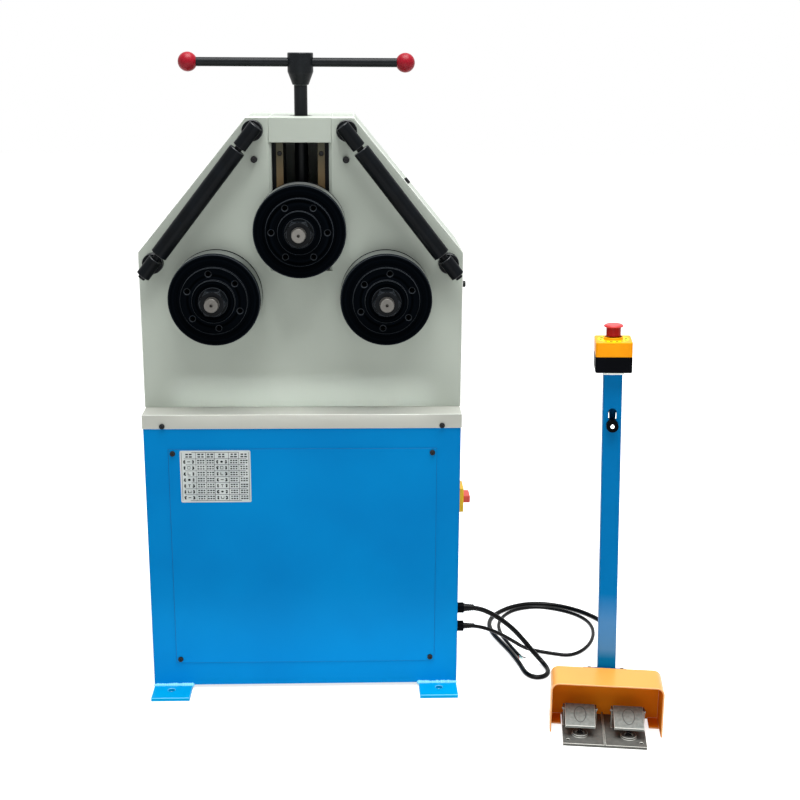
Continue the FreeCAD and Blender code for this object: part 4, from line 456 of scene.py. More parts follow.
# The plunger is drawn a darker red than the cap: painted shade under the cap.
neck_red_shade = plastic("dark red plunger plastic", "#A81814", "#981410", 0.35, specular=0.1)
yellow_plastic = plastic("yellow stop box plastic", "#FFA400", "#FA9C00", 0.36, specular=0.1)
label_yellow = plastic("lemon yellow ring print", "#F2EC00", "#EAE200", 0.4, specular=0.2)
switch_yellow = plastic("yellow switch plate plastic", "#F6C400", "#EEBC00", 0.36)
black_plastic = plastic("black box plastic", "#07080D", "#040508", 0.42, specular=0.02)
lens_plastic = plastic("clear white lamp lens", "#E8E8E2", "#DEDED8", 0.18)
switch_plastic = plastic("light grey switch gear plastic", "#CDCDC5", "#C2C2BA", 0.42)
label_ink = finish("black label ink", "#15181B", 0.5, specular=0.1)[0]
label_foil, tree, shader, place = finish("pale anodised label foil", "#C4CACA", 0.38, specular=0.3)
wander(tree, shader, place, 50 * MM, "#B6BEBE", "#CED4D2")

cable_jacket, tree, shader, place = finish("black cable rubber", "#030304", 0.2, specular=0.12)
wander(tree, shader, place, 20 * MM, "#020202", "#09090A", detail=4)
print("finishes made:", len(bpy.data.materials))

# %% [markdown]
# ## Broken edges on every measured piece
# A CAD solid ends in edges of no width, which no tool leaves and which catch no light. Each piece is
# copied, its doubled corners are merged, and a Bevel modifier rolls the edges over by a few tenths of a
# millimetre to two, as folding, filing or moulding would. The bevel takes the second material slot,
# which is the worn or thinly painted partner of the piece's finish, mostly drawn lighter as a painted
# highlight along the edge and in a few places darker as painted shade. A Weighted Normal modifier keeps
# the flats flat. The pedal base keeps its triangles, as a flat with that many holes joins badly.

# %% Bevelled copies stand in for the measured solids
sharp_angle, flat_angle = math.radians(28), math.radians(0.3)
doubled = 0.002 * MM


def merged_copy(node, flats_joined=True):
    """The node's own triangles as a clean mesh: corners joined, and flat areas joined into faces."""
    shape = bmesh.new()
    shape.from_mesh(nodes[node].data)
    bmesh.ops.remove_doubles(shape, verts=shape.verts, dist=doubled)
    if flats_joined:
        bmesh.ops.dissolve_limit(shape, angle_limit=flat_angle, verts=shape.verts, edges=shape.edges)
    mesh = bpy.data.meshes.new(node + "_dressed")
    shape.to_mesh(mesh)
    shape.free()
    return mesh


def put(mesh, name, body, slot, *finishes):
    """Put a finished mesh in the scene on its body, in its finishes."""
    if finishes:
        mesh.materials.clear()
    for colour in finishes:
        mesh.materials.append(colour)
    mesh.shade_smooth()
    mesh.set_sharp_from_angle(angle=sharp_angle)
    piece = in_scene(name, mesh)
    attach(piece, body)
    return piece


def break_edges(piece, width):
    """Roll the sharp edges over, in the piece's second finish."""
    edge = piece.modifiers.new("broken edges", "BEVEL")
    edge.width = width
    edge.segments = 2
    edge.material = 1
    return edge


def soften(node, width, slot, colour, rim=None):
    """Dress a measured piece. Returns what stands in for it."""
    mesh = merged_copy(node, node != "pedal_base")
    piece = put(mesh, node + "_dressed", nodes[node]["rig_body"], slot, colour, rim or colour)
    if width:
        edge = break_edges(piece, width)
        edge.limit_method = "ANGLE"
        edge.angle_limit = sharp_angle
        edge.use_clamp_overlap = False
    flat = piece.modifiers.new("flat faces stay flat", "WEIGHTED_NORMAL")
    flat.keep_sharp = True
    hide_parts(node)
    return piece


print("edges sharper than %.0f degrees are rolled over" % math.degrees(sharp_angle))

# %% [markdown]
# ### The finish of each measured piece
# One table says which slot and which finish each piece has, what its edges show and how far they are
# rolled over, in millimetres. A rim of None is an edge in the finish of the piece, and a width of 0 is an
# edge that stays sharp. The rollers and shafts come after it, because each has rings about its own axis.

# %% Dress the pieces
roller_edge = 0.6 * MM
dressed = {}
for slot, colour, rim, widths in (
        ("blue_enamel", blue_enamel, None,
         {"cabinet_sides": 0.8, "cabinet_back": 0.6, "cabinet_front_frame": 0, "cabinet_floor": 0.6}),
        ("blue_enamel", foot_enamel_lit, blue_edge_highlight, {"foot_plates": 1.2}),
        ("blue_enamel", blue_enamel, blue_seam_shade, {"access_panel": 0.7}),
        ("blue_enamel", post_enamel_shade, post_edge_shade, {"pole": 0.8}),
        ("grey_enamel", lip_enamel, grey_edge_highlight, {"deck_tray": 0.7}),
        ("grey_enamel", grey_enamel, None, {"front_plate": 1.0, "top_block": 1.0}),
        ("grey_enamel", grey_enamel, grey_edge_highlight, {"back_plate": 0.8, "side_covers": 0.9}),
        ("orange_enamel", orange_enamel, orange_edge_highlight, {"pedal_hood": 0.8}),
        ("motor_grey", motor_enamel, None, {"gear_reducer": 2.0, "drive_motor": 0.8}),
        ("black_steel", black_steel, None,
         {"slide_rails": 0.8, "bearing_covers": 0.6, "slide_block": 0.6, "slide_keeper": 0.8}),
        ("black_steel", bar_steel, burnished_edge_highlight, {"lead_screw": 0.8, "tommy_bar": 0.8}),
        ("black_steel", sleeve_steel, rubbed_rim_highlight, {"left_nut": 0.6, "right_nut": 0.6, "top_nut": 0.6}),
        ("black_steel", sleeve_steel, burnished_edge_highlight,
         {"left_guide_sleeve": 0.9, "right_guide_sleeve": 0.9, "guide_brackets": 0.9}),
        ("bare_steel", turned_steel, None, {"shaft_bearings": 0.4, "slide_bearings": 0.4}),
        ("bare_steel", turned_steel, chrome, {"pedal_pins": 0.3}),
        ("bare_steel", gear_steel, None, {"left_gear": 0, "right_gear": 0, "drive_pinion": 0}),
        ("bronze", bronze, None, {"gib_strips": 0.5, "lead_nut": 0.5}),
        ("cast_grey", base_grey, cast_edge_highlight, {"pedal_base": 0.8}),
        ("cast_grey", cast_grey, cast_edge_highlight, {"left_pedal": 0.9, "right_pedal": 0.9}),
        ("switch_gear", switch_plastic, None, {"electrical_panel": 0.8}),
        ("yellow_plastic", switch_yellow, None, {"isolator_plate": 1.5}),
        ("yellow_plastic", yellow_plastic, None, {"estop_lid": 1.4}),
        ("red_plastic", handle_red, None, {"isolator_handle": 1.5}),
        ("red_plastic", neck_red_shade, None, {"estop_plunger": 0.6}),
        ("red_plastic", stop_red, None, {"estop_cap": 0.8}),
        ("lamp_lens", lens_plastic, None, {"pilot_lamp": 0.8}),
        ("black_plastic", black_plastic, None, {"cable_glands": 0.6, "estop_base": 1.4})):
    for node, width in widths.items():
        dressed[node] = soften(node, width * MM, slot, colour, rim)
for name in ("left", "right", "top"):
    roller, shaft = name + "_roller", name + "_shaft"
    dressed[roller] = soften(roller, roller_edge, "roller_steel", roller_finishes[name], rubbed_rim_highlight)
    dressed[shaft] = soften(shaft, 0, "bare_steel", shaft_finishes[name])
print("dressed %d pieces" % len(dressed))

# %% [markdown]
# ### Inside the hood
# Faces inside the hood take a third finish, a darker and matt copy of the orange: painted shade for the
# hollow, with its reflection taken out. A face is inside if it looks towards a point in the middle of the
# hollow.

# %% Painted shade inside the hood
hood = dressed["pedal_hood"].data
low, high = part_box("pedal_hood")
hollow_height = 40 * MM
hollow = Vector(((low.x + high.x) / 2, (low.y + high.y) / 2, low.z + hollow_height))
hood.materials.append(orange_inside_shade)
inside = [face for face in hood.polygons if (hollow - face.center).dot(face.normal) > 0]
for face in inside:
    face.material_index = 2
print("faces inside the hood:", len(inside))

# %% [markdown]
# ## Pedal springs
# A coil spring under each pedal shortens as the pedal goes down. Here its measured mesh is copied on to
# the frame, with mesh data of its own, and is not squashed.

# %% Pedal springs
for name in ("left", "right"):
    node = name + "_pedal_spring"
    spring = put(merged_copy(node), node + "_dressed", "frame", "bare_steel", spring_steel)
    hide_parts(node)
    low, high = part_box(node)
    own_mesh(spring)

# %% [markdown]
# ## Turned shapes
# Studs, rings, sleeves and bolt heads have an axis, so they are drawn as a lathe would cut them: a profile
# of radius and height pairs goes round it. A profile that comes back to its start makes a ring. The
# same two steps, a ring of corners and the faces from one ring to the next, build most of what follows.

# %% A lathe


def circle(shape, place, radius, height, sides):
    """Corners evenly spaced about the z axis of a place. On the axis itself there is only one."""
    turns = [math.tau * step / sides for step in range(sides if radius else 1)]
    return [shape.verts.new(place @ Vector((radius * math.cos(turn), radius * math.sin(turn), height)))
            for turn in turns]


def bridge(shape, first, second):
    """Faces from one ring of corners to the next. Either may be a single corner."""
    sides = max(len(first), len(second))
    for step in range(sides):
        after = (step + 1) % sides
        corners = [first[step % len(first)], first[after % len(first)],
                   second[after % len(second)], second[step % len(second)]]
        shape.faces.new(list(dict.fromkeys(corners)))


def turn_on_lathe(shape, place, profile, sides=32, unit=MM):
    """Add a profile of (radius, height) pairs in millimetres, turned about the z axis of a place."""
    rings = [circle(shape, place, radius * unit, height * unit, sides) for radius, height in profile]
    for ring, after in zip(rings, rings[1:]):
        bridge(shape, ring, after)
    if profile[0][0]:
        bridge(shape, rings[-1], rings[0])


def cast_mesh(shape, name):
    """A bmesh as a mesh whose faces all look outwards."""
    bmesh.ops.recalc_face_normals(shape, faces=shape.faces)
    mesh = bpy.data.meshes.new(name)
    shape.to_mesh(mesh)
    shape.free()
    return mesh


def facing(point, way):
    """A frame at this point, in millimetres, whose z axis looks this way."""
    return Matrix.Translation(Vector(point) * MM) @ Vector(way).to_track_quat("Z", "Y").to_matrix().to_4x4()


def turned_piece(name, body, slot, colour, place, profile, sides=32):
    """One piece straight from the lathe, on its body."""
    shape = bmesh.new()
    turn_on_lathe(shape, place, profile, sides)
    return put(cast_mesh(shape, name), name, body, slot, colour)


print("lathe ready")

# %% [markdown]
# ## Ball knobs
# A measured ball is a mesh of long thin triangles with a bore in it, and gloss shows every one of them.
# The balls are turned again as spheres with evenly spaced rings, in the same places and as wide.

# %% Two moulded balls
low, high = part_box("ball_knobs")
ball_radius, ball_steps = (high.z - low.z) / 2, 24
turns = [math.pi * step / ball_steps for step in range(1, ball_steps)]
profile = [(0, -1), *((math.sin(turn), -math.cos(turn)) for turn in turns), (0, 1)]
shape = bmesh.new()
for x in (low.x + ball_radius, high.x - ball_radius):
    middle = Matrix.Translation((x, (low.y + high.y) / 2, low.z + ball_radius))
    turn_on_lathe(shape, middle, profile, sides=2 * ball_steps, unit=ball_radius)
knobs = put(cast_mesh(shape, "ball knobs"), "ball_knobs_dressed", "handle_bar", "red_plastic", red_plastic)
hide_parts("ball_knobs")
print("ball knobs: %.0f mm across" % (ball_radius * 2 / MM))

# %% [markdown]
# ## Geometry trees
# What repeats on this machine is grown by Geometry Nodes: screws, beads of weld, a knurl, grille bars and
# printed marks. Each tree below has named inputs, with lengths in metres, and is run once for each use.
# The result is kept as a plain mesh, so that it can ride on a body.

# %% Running a geometry tree


def new_tree(name, sockets):
    """A geometry tree with these named inputs. Returns it with the node that holds them."""
    tree = bpy.data.node_groups.new(name, "GeometryNodeTree")
    tree.interface.new_socket("Geometry", in_out="INPUT", socket_type="NodeSocketGeometry")
    for label, kind in sockets:
        tree.interface.new_socket(label, in_out="INPUT", socket_type="NodeSocket" + kind)
    tree.interface.new_socket("Geometry", in_out="OUTPUT", socket_type="NodeSocketGeometry")
    return tree, add(tree, "NodeGroupInput").outputs


def end_tree(tree, instances, colour):
    """Make instances real, give them their finish, and send them out."""
    solid = add(tree, "GeometryNodeRealizeInstances", {"Geometry": instances})
    painted = add(tree, "GeometryNodeSetMaterial", {"Geometry": solid.outputs[0], "Material": colour})
    add(tree, "NodeGroupOutput", {"Geometry": painted.outputs[0]})


def grow(tree, seed_mesh, chosen):
    """Run a tree on a mesh with chosen inputs, and keep what grows as a plain mesh."""
    holder = in_scene(tree.name, seed_mesh)
    growth = holder.modifiers.new(tree.name, "NODES")
    growth.node_group = tree
    for socket in tree.interface.items_tree:
        if socket.in_out == "INPUT" and socket.name in chosen:
            growth[socket.identifier] = chosen[socket.name]
    grown = bpy.data.meshes.new_from_object(holder.evaluated_get(bpy.context.evaluated_depsgraph_get()))
    bpy.data.objects.remove(holder)
    return grown


def points_with(facts):
    """A mesh of bare points. Each fact is a dict with its place, and a vector for each attribute."""
    mesh = bpy.data.meshes.new("points")
    mesh.from_pydata([fact["place"] for fact in facts], [], [])
    for name in facts[0]:
        if name != "place":
            column = mesh.attributes.new(name, "FLOAT_VECTOR", "POINT")
            for row, fact in zip(column.data, facts):
                row.vector = fact[name]
    return mesh


print("geometry trees in Blender", bpy.app.version_string)

# %% [markdown]
# ### Screws
# The machine is held together with cap screws driven by a hexagon key. A head is forged with its socket
# pressed in, and a shank is turned with a chamfered end. One of each is modelled at a size of one, for
# a tree to copy at any size.

# %% The head and shank of a cap screw


def screw_head():
    """A head of radius 1 and height 1 that stands on z = 0, with a hexagon socket in its top."""
    shape = bmesh.new()
    sides, shoulder, crown, socket, floor_level = 24, 0.8, 0.86, 0.5, 0.4
    foot, waist, top = (circle(shape, Matrix(), radius, height, sides)
                        for radius, height in ((1, 0), (1, shoulder), (crown, 1)))
    mouth, socket_floor = (circle(shape, Matrix(), socket, height, 6) for height in (1, floor_level))
    shape.faces.new(foot)
    shape.faces.new(socket_floor)
    for lower, upper in ((foot, waist), (waist, top), (socket_floor, mouth)):
        bridge(shape, lower, upper)
    share = sides // 6
    for step in range(6):
        rim = [top[(step * share + place) % sides] for place in range(share, -1, -1)]
        shape.faces.new([mouth[step], mouth[(step + 1) % 6]] + rim)
    return cast_mesh(shape, "screw head")


def screw_shank():
    """A shank of radius 1 that reaches down to z = -1, with a chamfered end."""
    shape = bmesh.new()
    turn_on_lathe(shape, Matrix(), [(0, -1), (0.8, -1), (1, -0.9), (1, 0.02), (0, 0.02)], sides=12, unit=1)
    return cast_mesh(shape, "screw shank")


patterns = {"Head": in_scene("Head", screw_head()), "Shank": in_scene("Shank", screw_shank())}
print("a head has %d faces" % len(patterns["Head"].data.polygons))

# %% [markdown]
# The seats are read from the measured screws: the largest flat of each is the top of its head, and what
# is thinner behind it is the shank. Hexagon bolts have fewer corners in that flat, and stay as measured.

# %% Where the screws sit
round_corners, head_share, shank_share, least_depth = 10, 0.97, 0.6, 0.1 * MM


def screw_seats(node):
    """Each measured screw as a fact for the tree, and the mesh of the bolts that are not cap screws.

    Nothing is kept in a set, whose order changes, so the screws come in the same order on every run.
    """
    shape = bmesh.new()
    shape.from_mesh(merged_copy(node))
    left_over, facts, bolts = dict.fromkeys(shape.verts), [], []
    while left_over:
        island, front = [], [left_over.popitem()[0]]
        while front:
            vert = front.pop()
            island.append(vert)
            for edge in vert.link_edges:
                other = edge.other_vert(vert)
                if other in left_over:
                    del left_over[other]
                    front.append(other)
        faces = dict.fromkeys(face for vert in island for face in vert.link_faces)
        top = max(faces, key=lambda face: (round(face.calc_area() * 1e9), -face.calc_center_median().y))
        if len(top.verts) < round_corners:
            bolts.append(island)
            continue
        way, middle = top.normal.copy(), top.calc_center_median()
        radius = sum((vert.co - middle).length for vert in top.verts) / len(top.verts)
        depths = [(middle - vert.co).dot(way) for vert in island]
        spread = [((vert.co - middle) - way * (vert.co - middle).dot(way)).length for vert in island]
        tall = max(depth for depth, out in zip(depths, spread) if out > radius * head_share)
        thin = min([out for depth, out in zip(depths, spread) if depth > tall + least_depth]
                   or [radius * shank_share])
        deep = max(max(depths) - tall, least_depth)
        facts.append({"place": middle - way * tall, "facing": way, "head": (radius, radius, tall),
                      "shank": (thin, thin, deep)})
    cap_screws = [vert for vert in shape.verts if not any(vert in island for island in bolts)]
    bmesh.ops.delete(shape, geom=cap_screws, context="VERTS")
    return facts, cast_mesh(shape, "bracket bolts")


seats, bolts = screw_seats("screws")
print("cap screws: %d, faces of other bolts: %d" % (len(seats), len(bolts.polygons)))

# %% [markdown]
# The tree sets a copy of the head and of the shank on each seat, scaled to the measured screw. No two
# screws stop at the same angle, so each is turned by a random amount with a fixed seed.

# %% Cap screws
tree, given = new_tree("cap screws", [("Head", "Object"), ("Shank", "Object"), ("Seed", "Int"),
                                      ("Finish", "Material")])
way = add(tree, "GeometryNodeInputNamedAttribute", {"Name": "facing"}, data_type="FLOAT_VECTOR")
upright = add(tree, "FunctionNodeAlignRotationToVector", {"Vector": way.outputs[0]}, axis="Z")
spin = add(tree, "FunctionNodeRandomValue", {0: (0, 0, 0), 1: (0, 0, math.tau), "Seed": given["Seed"]},
           data_type="FLOAT_VECTOR")
turn = add(tree, "FunctionNodeEulerToRotation", {0: spin.outputs[0]})
turned = add(tree, "FunctionNodeRotateRotation", {0: upright.outputs[0], 1: turn.outputs[0]},
             rotation_space="LOCAL")
joined = add(tree, "GeometryNodeJoinGeometry")
for name in ("Head", "Shank"):
    pattern = add(tree, "GeometryNodeObjectInfo", {"Object": given[name]})
    scale = add(tree, "GeometryNodeInputNamedAttribute", {"Name": name.lower()}, data_type="FLOAT_VECTOR")
    copies = add(tree, "GeometryNodeInstanceOnPoints", {
        "Points": given["Geometry"], "Instance": pattern.outputs["Geometry"], "Rotation": turned.outputs[0],
        "Scale": scale.outputs[0]})
    tree.links.new(copies.outputs[0], joined.inputs[0])
end_tree(tree, joined.outputs[0], given["Finish"])

screw_mesh = grow(tree, points_with(seats), {**patterns, "Seed": 7, "Finish": dark_screw})
for pattern in patterns.values():
    bpy.data.objects.remove(pattern)
cap_screws = put(screw_mesh, "cap_screws", "frame", "black_steel")
bracket_bolts = put(bolts, "bracket_bolts", "frame", "black_steel", dark_screw, screw_edge_highlight)
break_edges(bracket_bolts, 0.6 * MM)
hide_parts("screws")
print("faces of all cap screws:", len(cap_screws.data.polygons))

# %% [markdown]
# ### Weld beads
# Each foot plate is welded to the cabinet wall that stands on it. A bead is a row of frozen puddles, each
# a little ahead of the last, so the tree lays flattened drops along the seam at the welder's own pace,
# and lets their size vary. The bead was painted with the rest, and is drawn in a much paler blue than the
# cabinet as a painted highlight on its round crests.

# %% Weld beads
tree, given = new_tree("weld bead", [("Pitch", "Float"), ("Width", "Float"), ("Height", "Float"),
                                     ("Seed", "Int"), ("Finish", "Material")])
seam = add(tree, "GeometryNodeMeshToCurve", {"Mesh": given["Geometry"]})
puddles = add(tree, "GeometryNodeResampleCurve", {"Curve": seam.outputs[0], "Length": given["Pitch"]},
              mode="LENGTH")
along = add(tree, "GeometryNodeInputTangent")
heading = add(tree, "FunctionNodeAlignRotationToVector", {"Vector": along.outputs[0]}, axis="X")
smallest, largest = 0.8, 1.2
vary = add(tree, "FunctionNodeRandomValue", {2: smallest, 3: largest, "Seed": given["Seed"]},
           data_type="FLOAT")
size = add(tree, "ShaderNodeCombineXYZ", {0: given["Pitch"], 1: given["Width"], 2: given["Height"]})
drop = add(tree, "GeometryNodeMeshIcoSphere", {"Radius": 1.0, "Subdivisions": 2})
varied = add(tree, "ShaderNodeVectorMath", {0: size.outputs[0], "Scale": vary.outputs[1]}, operation="SCALE")
laid = add(tree, "GeometryNodeInstanceOnPoints", {
    "Points": puddles.outputs[0], "Instance": drop.outputs[0], "Rotation": heading.outputs[0],
    "Scale": varied.outputs[0]})
end_tree(tree, laid.outputs[0], given["Finish"])

# The bead's pale blue is a painted highlight on its crests.
weld_enamel_highlight = finish("blue enamel over weld", "#7CCDF0", 0.34, specular=0.5)[0]
foot_top, foot_outer, foot_inner, wall = 8 * MM, 311 * MM, 236 * MM, 250.6 * MM
seams = bpy.data.meshes.new("weld seams")
ends = [(side * x, face * wall, foot_top)
        for side in (-1, 1) for face in (-1, 1) for x in (foot_inner, foot_outer)]
seams.from_pydata(ends, [(0, 1), (2, 3), (4, 5), (6, 7)], [])
welds = put(grow(tree, seams, {"Pitch": 4.6 * MM, "Width": 4.6 * MM, "Height": 4.2 * MM, "Seed": 3,
                               "Finish": weld_enamel_highlight}), "foot_weld_beads", "frame", "blue_enamel")
print("weld bead faces:", len(welds.data.polygons))

# %% [markdown]
# ### Printed marks and bars
# One more tree sets small blocks on points, each with its own size and turn. It prints the rows of the
# capacity plate and the ring of dashes on the stop box, and it also makes the bars of the motor's grille.
# The ends of printed words are uneven, so an input lets the lengths vary.

# %% A tree of small blocks
blocks_tree, given = new_tree("small blocks", [("Vary", "Float"), ("Seed", "Int"), ("Finish", "Material")])
brick = add(blocks_tree, "GeometryNodeMeshCube", {"Size": (1, 1, 1)})
size = add(blocks_tree, "GeometryNodeInputNamedAttribute", {"Name": "size"}, data_type="FLOAT_VECTOR")
angle = add(blocks_tree, "GeometryNodeInputNamedAttribute", {"Name": "turn"}, data_type="FLOAT_VECTOR")
turned = add(blocks_tree, "FunctionNodeEulerToRotation", {0: angle.outputs[0]})
least = add(blocks_tree, "ShaderNodeMath", {0: 1.0, 1: given["Vary"]}, operation="SUBTRACT")
length = add(blocks_tree, "FunctionNodeRandomValue", {2: least.outputs[0], 3: 1.0, "Seed": given["Seed"]},
             data_type="FLOAT")
stretch = add(blocks_tree, "ShaderNodeCombineXYZ", {0: length.outputs[1], 1: 1.0, 2: 1.0})
varied = add(blocks_tree, "ShaderNodeVectorMath", {0: size.outputs[0], 1: stretch.outputs[0]},
             operation="MULTIPLY")
laid = add(blocks_tree, "GeometryNodeInstanceOnPoints", {
    "Points": given["Geometry"], "Instance": brick.outputs[0], "Rotation": turned.outputs[0],
    "Scale": varied.outputs[0]})
end_tree(blocks_tree, laid.outputs[0], given["Finish"])


def block(place, size, turn=(0, 0, 0)):
    """One block in millimetres, turned by degrees."""
    return {"place": [part * MM for part in place], "size": [part * MM for part in size],
            "turn": [math.radians(part) for part in turn]}


print("block tree has %d nodes" % len(blocks_tree.nodes))

# %% [markdown]
# ### The capacity plate
# The plate on the door lists what the rollers can bend. It is printed on foil with six columns, two of
# them little sections such as flat, angle, tee and tube. Only its pattern is kept here: a grid, simple
# shapes and dashes where the figures stand. The foil is a real sheet with round corners, 0.4 mm thick.

# %% Capacity plate
plate_left, plate_right, plate_low, plate_high = -243.5, -104, 409, 517
plate_back, plate_thick = -251.5, 0.4
corner, ink_level, ink_thick, ruled = 3, -251.95, 0.1, 0.8
columns = (28, 20, 17, 28, 20, 20)
header, row_height, row_count = 13, 12.5, 7

centres_x, centres_z = (plate_left + corner, plate_right - corner), (plate_low + corner, plate_high - corner)
outline = []
for side, end, start in ((1, 1, 0), (0, 1, 90), (0, 0, 180), (1, 0, 270)):
    for step in range(7):
        angle = math.radians(start + step * 15)
        outline.append((centres_x[side] + corner * math.cos(angle),
                        centres_z[end] + corner * math.sin(angle)))
shape = bmesh.new()
front_rim, back_rim = ([shape.verts.new((x * MM, y * MM, z * MM)) for x, z in outline]
                       for y in (plate_back - plate_thick, plate_back))
shape.faces.new(front_rim)
shape.faces.new(back_rim)
bridge(shape, front_rim, back_rim)
put(cast_mesh(shape, "capacity plate"), "capacity_plate", "frame", "bare_steel", label_foil)

marks = []


def ink(x, z, wide, tall, lean=0):
    marks.append(block((x, ink_level, z), (wide, ink_thick, tall), (0, lean, 0)))


grid_left = (plate_left + plate_right - sum(columns)) / 2
grid_high = (plate_low + plate_high + header + row_height * row_count) / 2
edges_x = [grid_left + sum(columns[:count]) for count in range(len(columns) + 1)]
edges_z = [grid_high] + [grid_high - header - row_height * count for count in range(row_count + 1)]
for x in edges_x:
    ink(x, (edges_z[0] + edges_z[-1]) / 2, ruled, edges_z[0] - edges_z[-1])
for z in edges_z:
    ink((edges_x[0] + edges_x[-1]) / 2, z, edges_x[-1] - edges_x[0], ruled)

sections = {"flat": [(0, 0, 7, 1.6)],
            "angle": [(-2.2, 0, 1.4, 6), (0.6, -2.4, 5, 1.4)],
            "tee": [(0, 2.2, 7, 1.4), (0, -0.8, 1.4, 5)],
            "channel": [(0, -2.2, 7, 1.4), (-2.8, 0.4, 1.4, 4.4), (2.8, 0.4, 1.4, 4.4)],
            "tube": [(-2.6, 0, 1.1, 6), (0, -2.6, 6, 1.1), (2.6, 0, 1.1, 6), (0, 2.6, 6, 1.1)],
            "round": [(0, 0, 5.4, 2.3, lean) for lean in (0, 45, 90, 135)]}


def section(kind, x, z):
    """A small drawing of one bar section, between the two rollers that bend it."""
    for right_by, up_by, *shape_of in sections[kind]:
        ink(x + right_by, z + up_by, *shape_of)
    for side in (-1, 1):
        ink(x + side * 8.6, z + 1.5, 5.0, 3.0, side * 24)
        ink(x + side * 8.6, z - 2.1, 5.0, 3.0, side * -24)


kinds = ("flat", "tube", "angle", "round", "tee", "channel", "flat", "round", "tube", "angle", "flat", "tee",
         "round", "channel")
middles_x = [(low + high) / 2 for low, high in zip(edges_x, edges_x[1:])]
middles_z = [(low + high) / 2 for low, high in zip(edges_z, edges_z[1:])]
for number, x in enumerate(middles_x):
    for line in (2.6, -2.6):
        for dash in (-1, 1):
            ink(x + dash * 3.6, middles_z[0] + line, 6.2, 2.7)
    for row, z in enumerate(middles_z[1:]):
        if number % 3 == 0:
            section(kinds[row + (7 if number else 0)], x, z)
        else:
            for line in (2.5, -2.3):
                for dash in (-5.2, 0, 5.2):
                    ink(x + dash, z + line, 4.4, 2.5)
ink_mesh = grow(blocks_tree, points_with(marks), {"Vary": 0.35, "Seed": 11, "Finish": label_ink})
put(ink_mesh, "capacity_plate_ink", "frame", "black_plastic")
print("marks on the plate:", len(marks))

# %% [markdown]
# ## The post's own frame
# The control post stands beside the machine, turned by seven and a half degrees and leaning by one and a
# half. Its small pieces are drawn upright over the origin, as a fitter has them on the bench, and one
# matrix sets them on the floor.

# %% Post frames
on_floor = Matrix.Translation((588.6 * MM, -463.8 * MM, 0)) @ Matrix.Rotation(math.radians(-7.6), 4, "Z")
on_post = on_floor @ Matrix.Translation((4.6 * MM, 0, 0)) @ Matrix.Rotation(math.radians(-1.5), 4, "Y")
post_face, post_centre = 82.5, 100
print("post foot at", [round(part, 4) for part in on_post.translation])

# %% [markdown]
# ### The clamping knob
# A clamping knob is turned from black nylon bar and given a diamond knurl for the thumb. The knurl is
# a rule, so a tree makes it: two families of helical grooves cross on a cylinder, and each point of the
# skin sinks by how near it is to a groove. The end of the chromed stud shows in the middle.

# %% Knurled knob
tree, given = new_tree("diamond knurl", [("Radius", "Float"), ("Length", "Float"), ("Ridges", "Int"),
                                         ("Depth", "Float"), ("Finish", "Material")])
bar = add(tree, "GeometryNodeMeshCylinder", {"Vertices": 168, "Side Segments": 22, "Radius": given["Radius"],
                                             "Depth": given["Length"]})
spot = add(tree, "ShaderNodeSeparateXYZ", {0: add(tree, "GeometryNodeInputPosition").outputs[0]})
angle = add(tree, "ShaderNodeMath", {0: spot.outputs["Y"], 1: spot.outputs["X"]}, operation="ARCTAN2")
turns = add(tree, "ShaderNodeMath", {0: angle.outputs[0], 1: math.tau}, operation="DIVIDE")
around = add(tree, "ShaderNodeMath", {0: turns.outputs[0], 1: given["Ridges"]}, operation="MULTIPLY")
pitch = add(tree, "ShaderNodeMath", {0: given["Radius"], 1: math.tau}, operation="MULTIPLY")
ridge = add(tree, "ShaderNodeMath", {0: pitch.outputs[0], 1: given["Ridges"]}, operation="DIVIDE")
climb = add(tree, "ShaderNodeMath", {0: spot.outputs["Z"], 1: ridge.outputs[0]}, operation="DIVIDE")
nearness = []
for hand in ("ADD", "SUBTRACT"):
    helix = add(tree, "ShaderNodeMath", {0: around.outputs[0], 1: climb.outputs[0]}, operation=hand)
    nearness.append(add(tree, "ShaderNodeMath", {0: helix.outputs[0], 1: 0.5}, operation="PINGPONG"))
crest = add(tree, "ShaderNodeMath", {0: nearness[0].outputs[0], 1: nearness[1].outputs[0]},
            operation="MINIMUM")
sunk = add(tree, "ShaderNodeMath", {0: crest.outputs[0], 1: 2.0, 2: -1.0}, operation="MULTIPLY_ADD")
sink = add(tree, "ShaderNodeMath", {0: sunk.outputs[0], 1: given["Depth"]}, operation="MULTIPLY")
outward = add(tree, "ShaderNodeCombineXYZ", {0: spot.outputs["X"], 1: spot.outputs["Y"], 2: 0.0})
unit = add(tree, "ShaderNodeVectorMath", {0: outward.outputs[0]}, operation="NORMALIZE")
move = add(tree, "ShaderNodeVectorMath", {0: unit.outputs[0], "Scale": sink.outputs[0]}, operation="SCALE")
radial = add(tree, "ShaderNodeVectorMath", {0: outward.outputs[0]}, operation="LENGTH")
on_skin = add(tree, "FunctionNodeCompare", {0: radial.outputs["Value"], 1: given["Radius"],
                                            "Epsilon": 0.01 * MM}, data_type="FLOAT", operation="EQUAL")
cut_bar = add(tree, "GeometryNodeSetPosition", {
    "Geometry": bar.outputs["Mesh"], "Selection": on_skin.outputs[0], "Offset": move.outputs[0]})
end_tree(tree, cut_bar.outputs[0], given["Finish"])

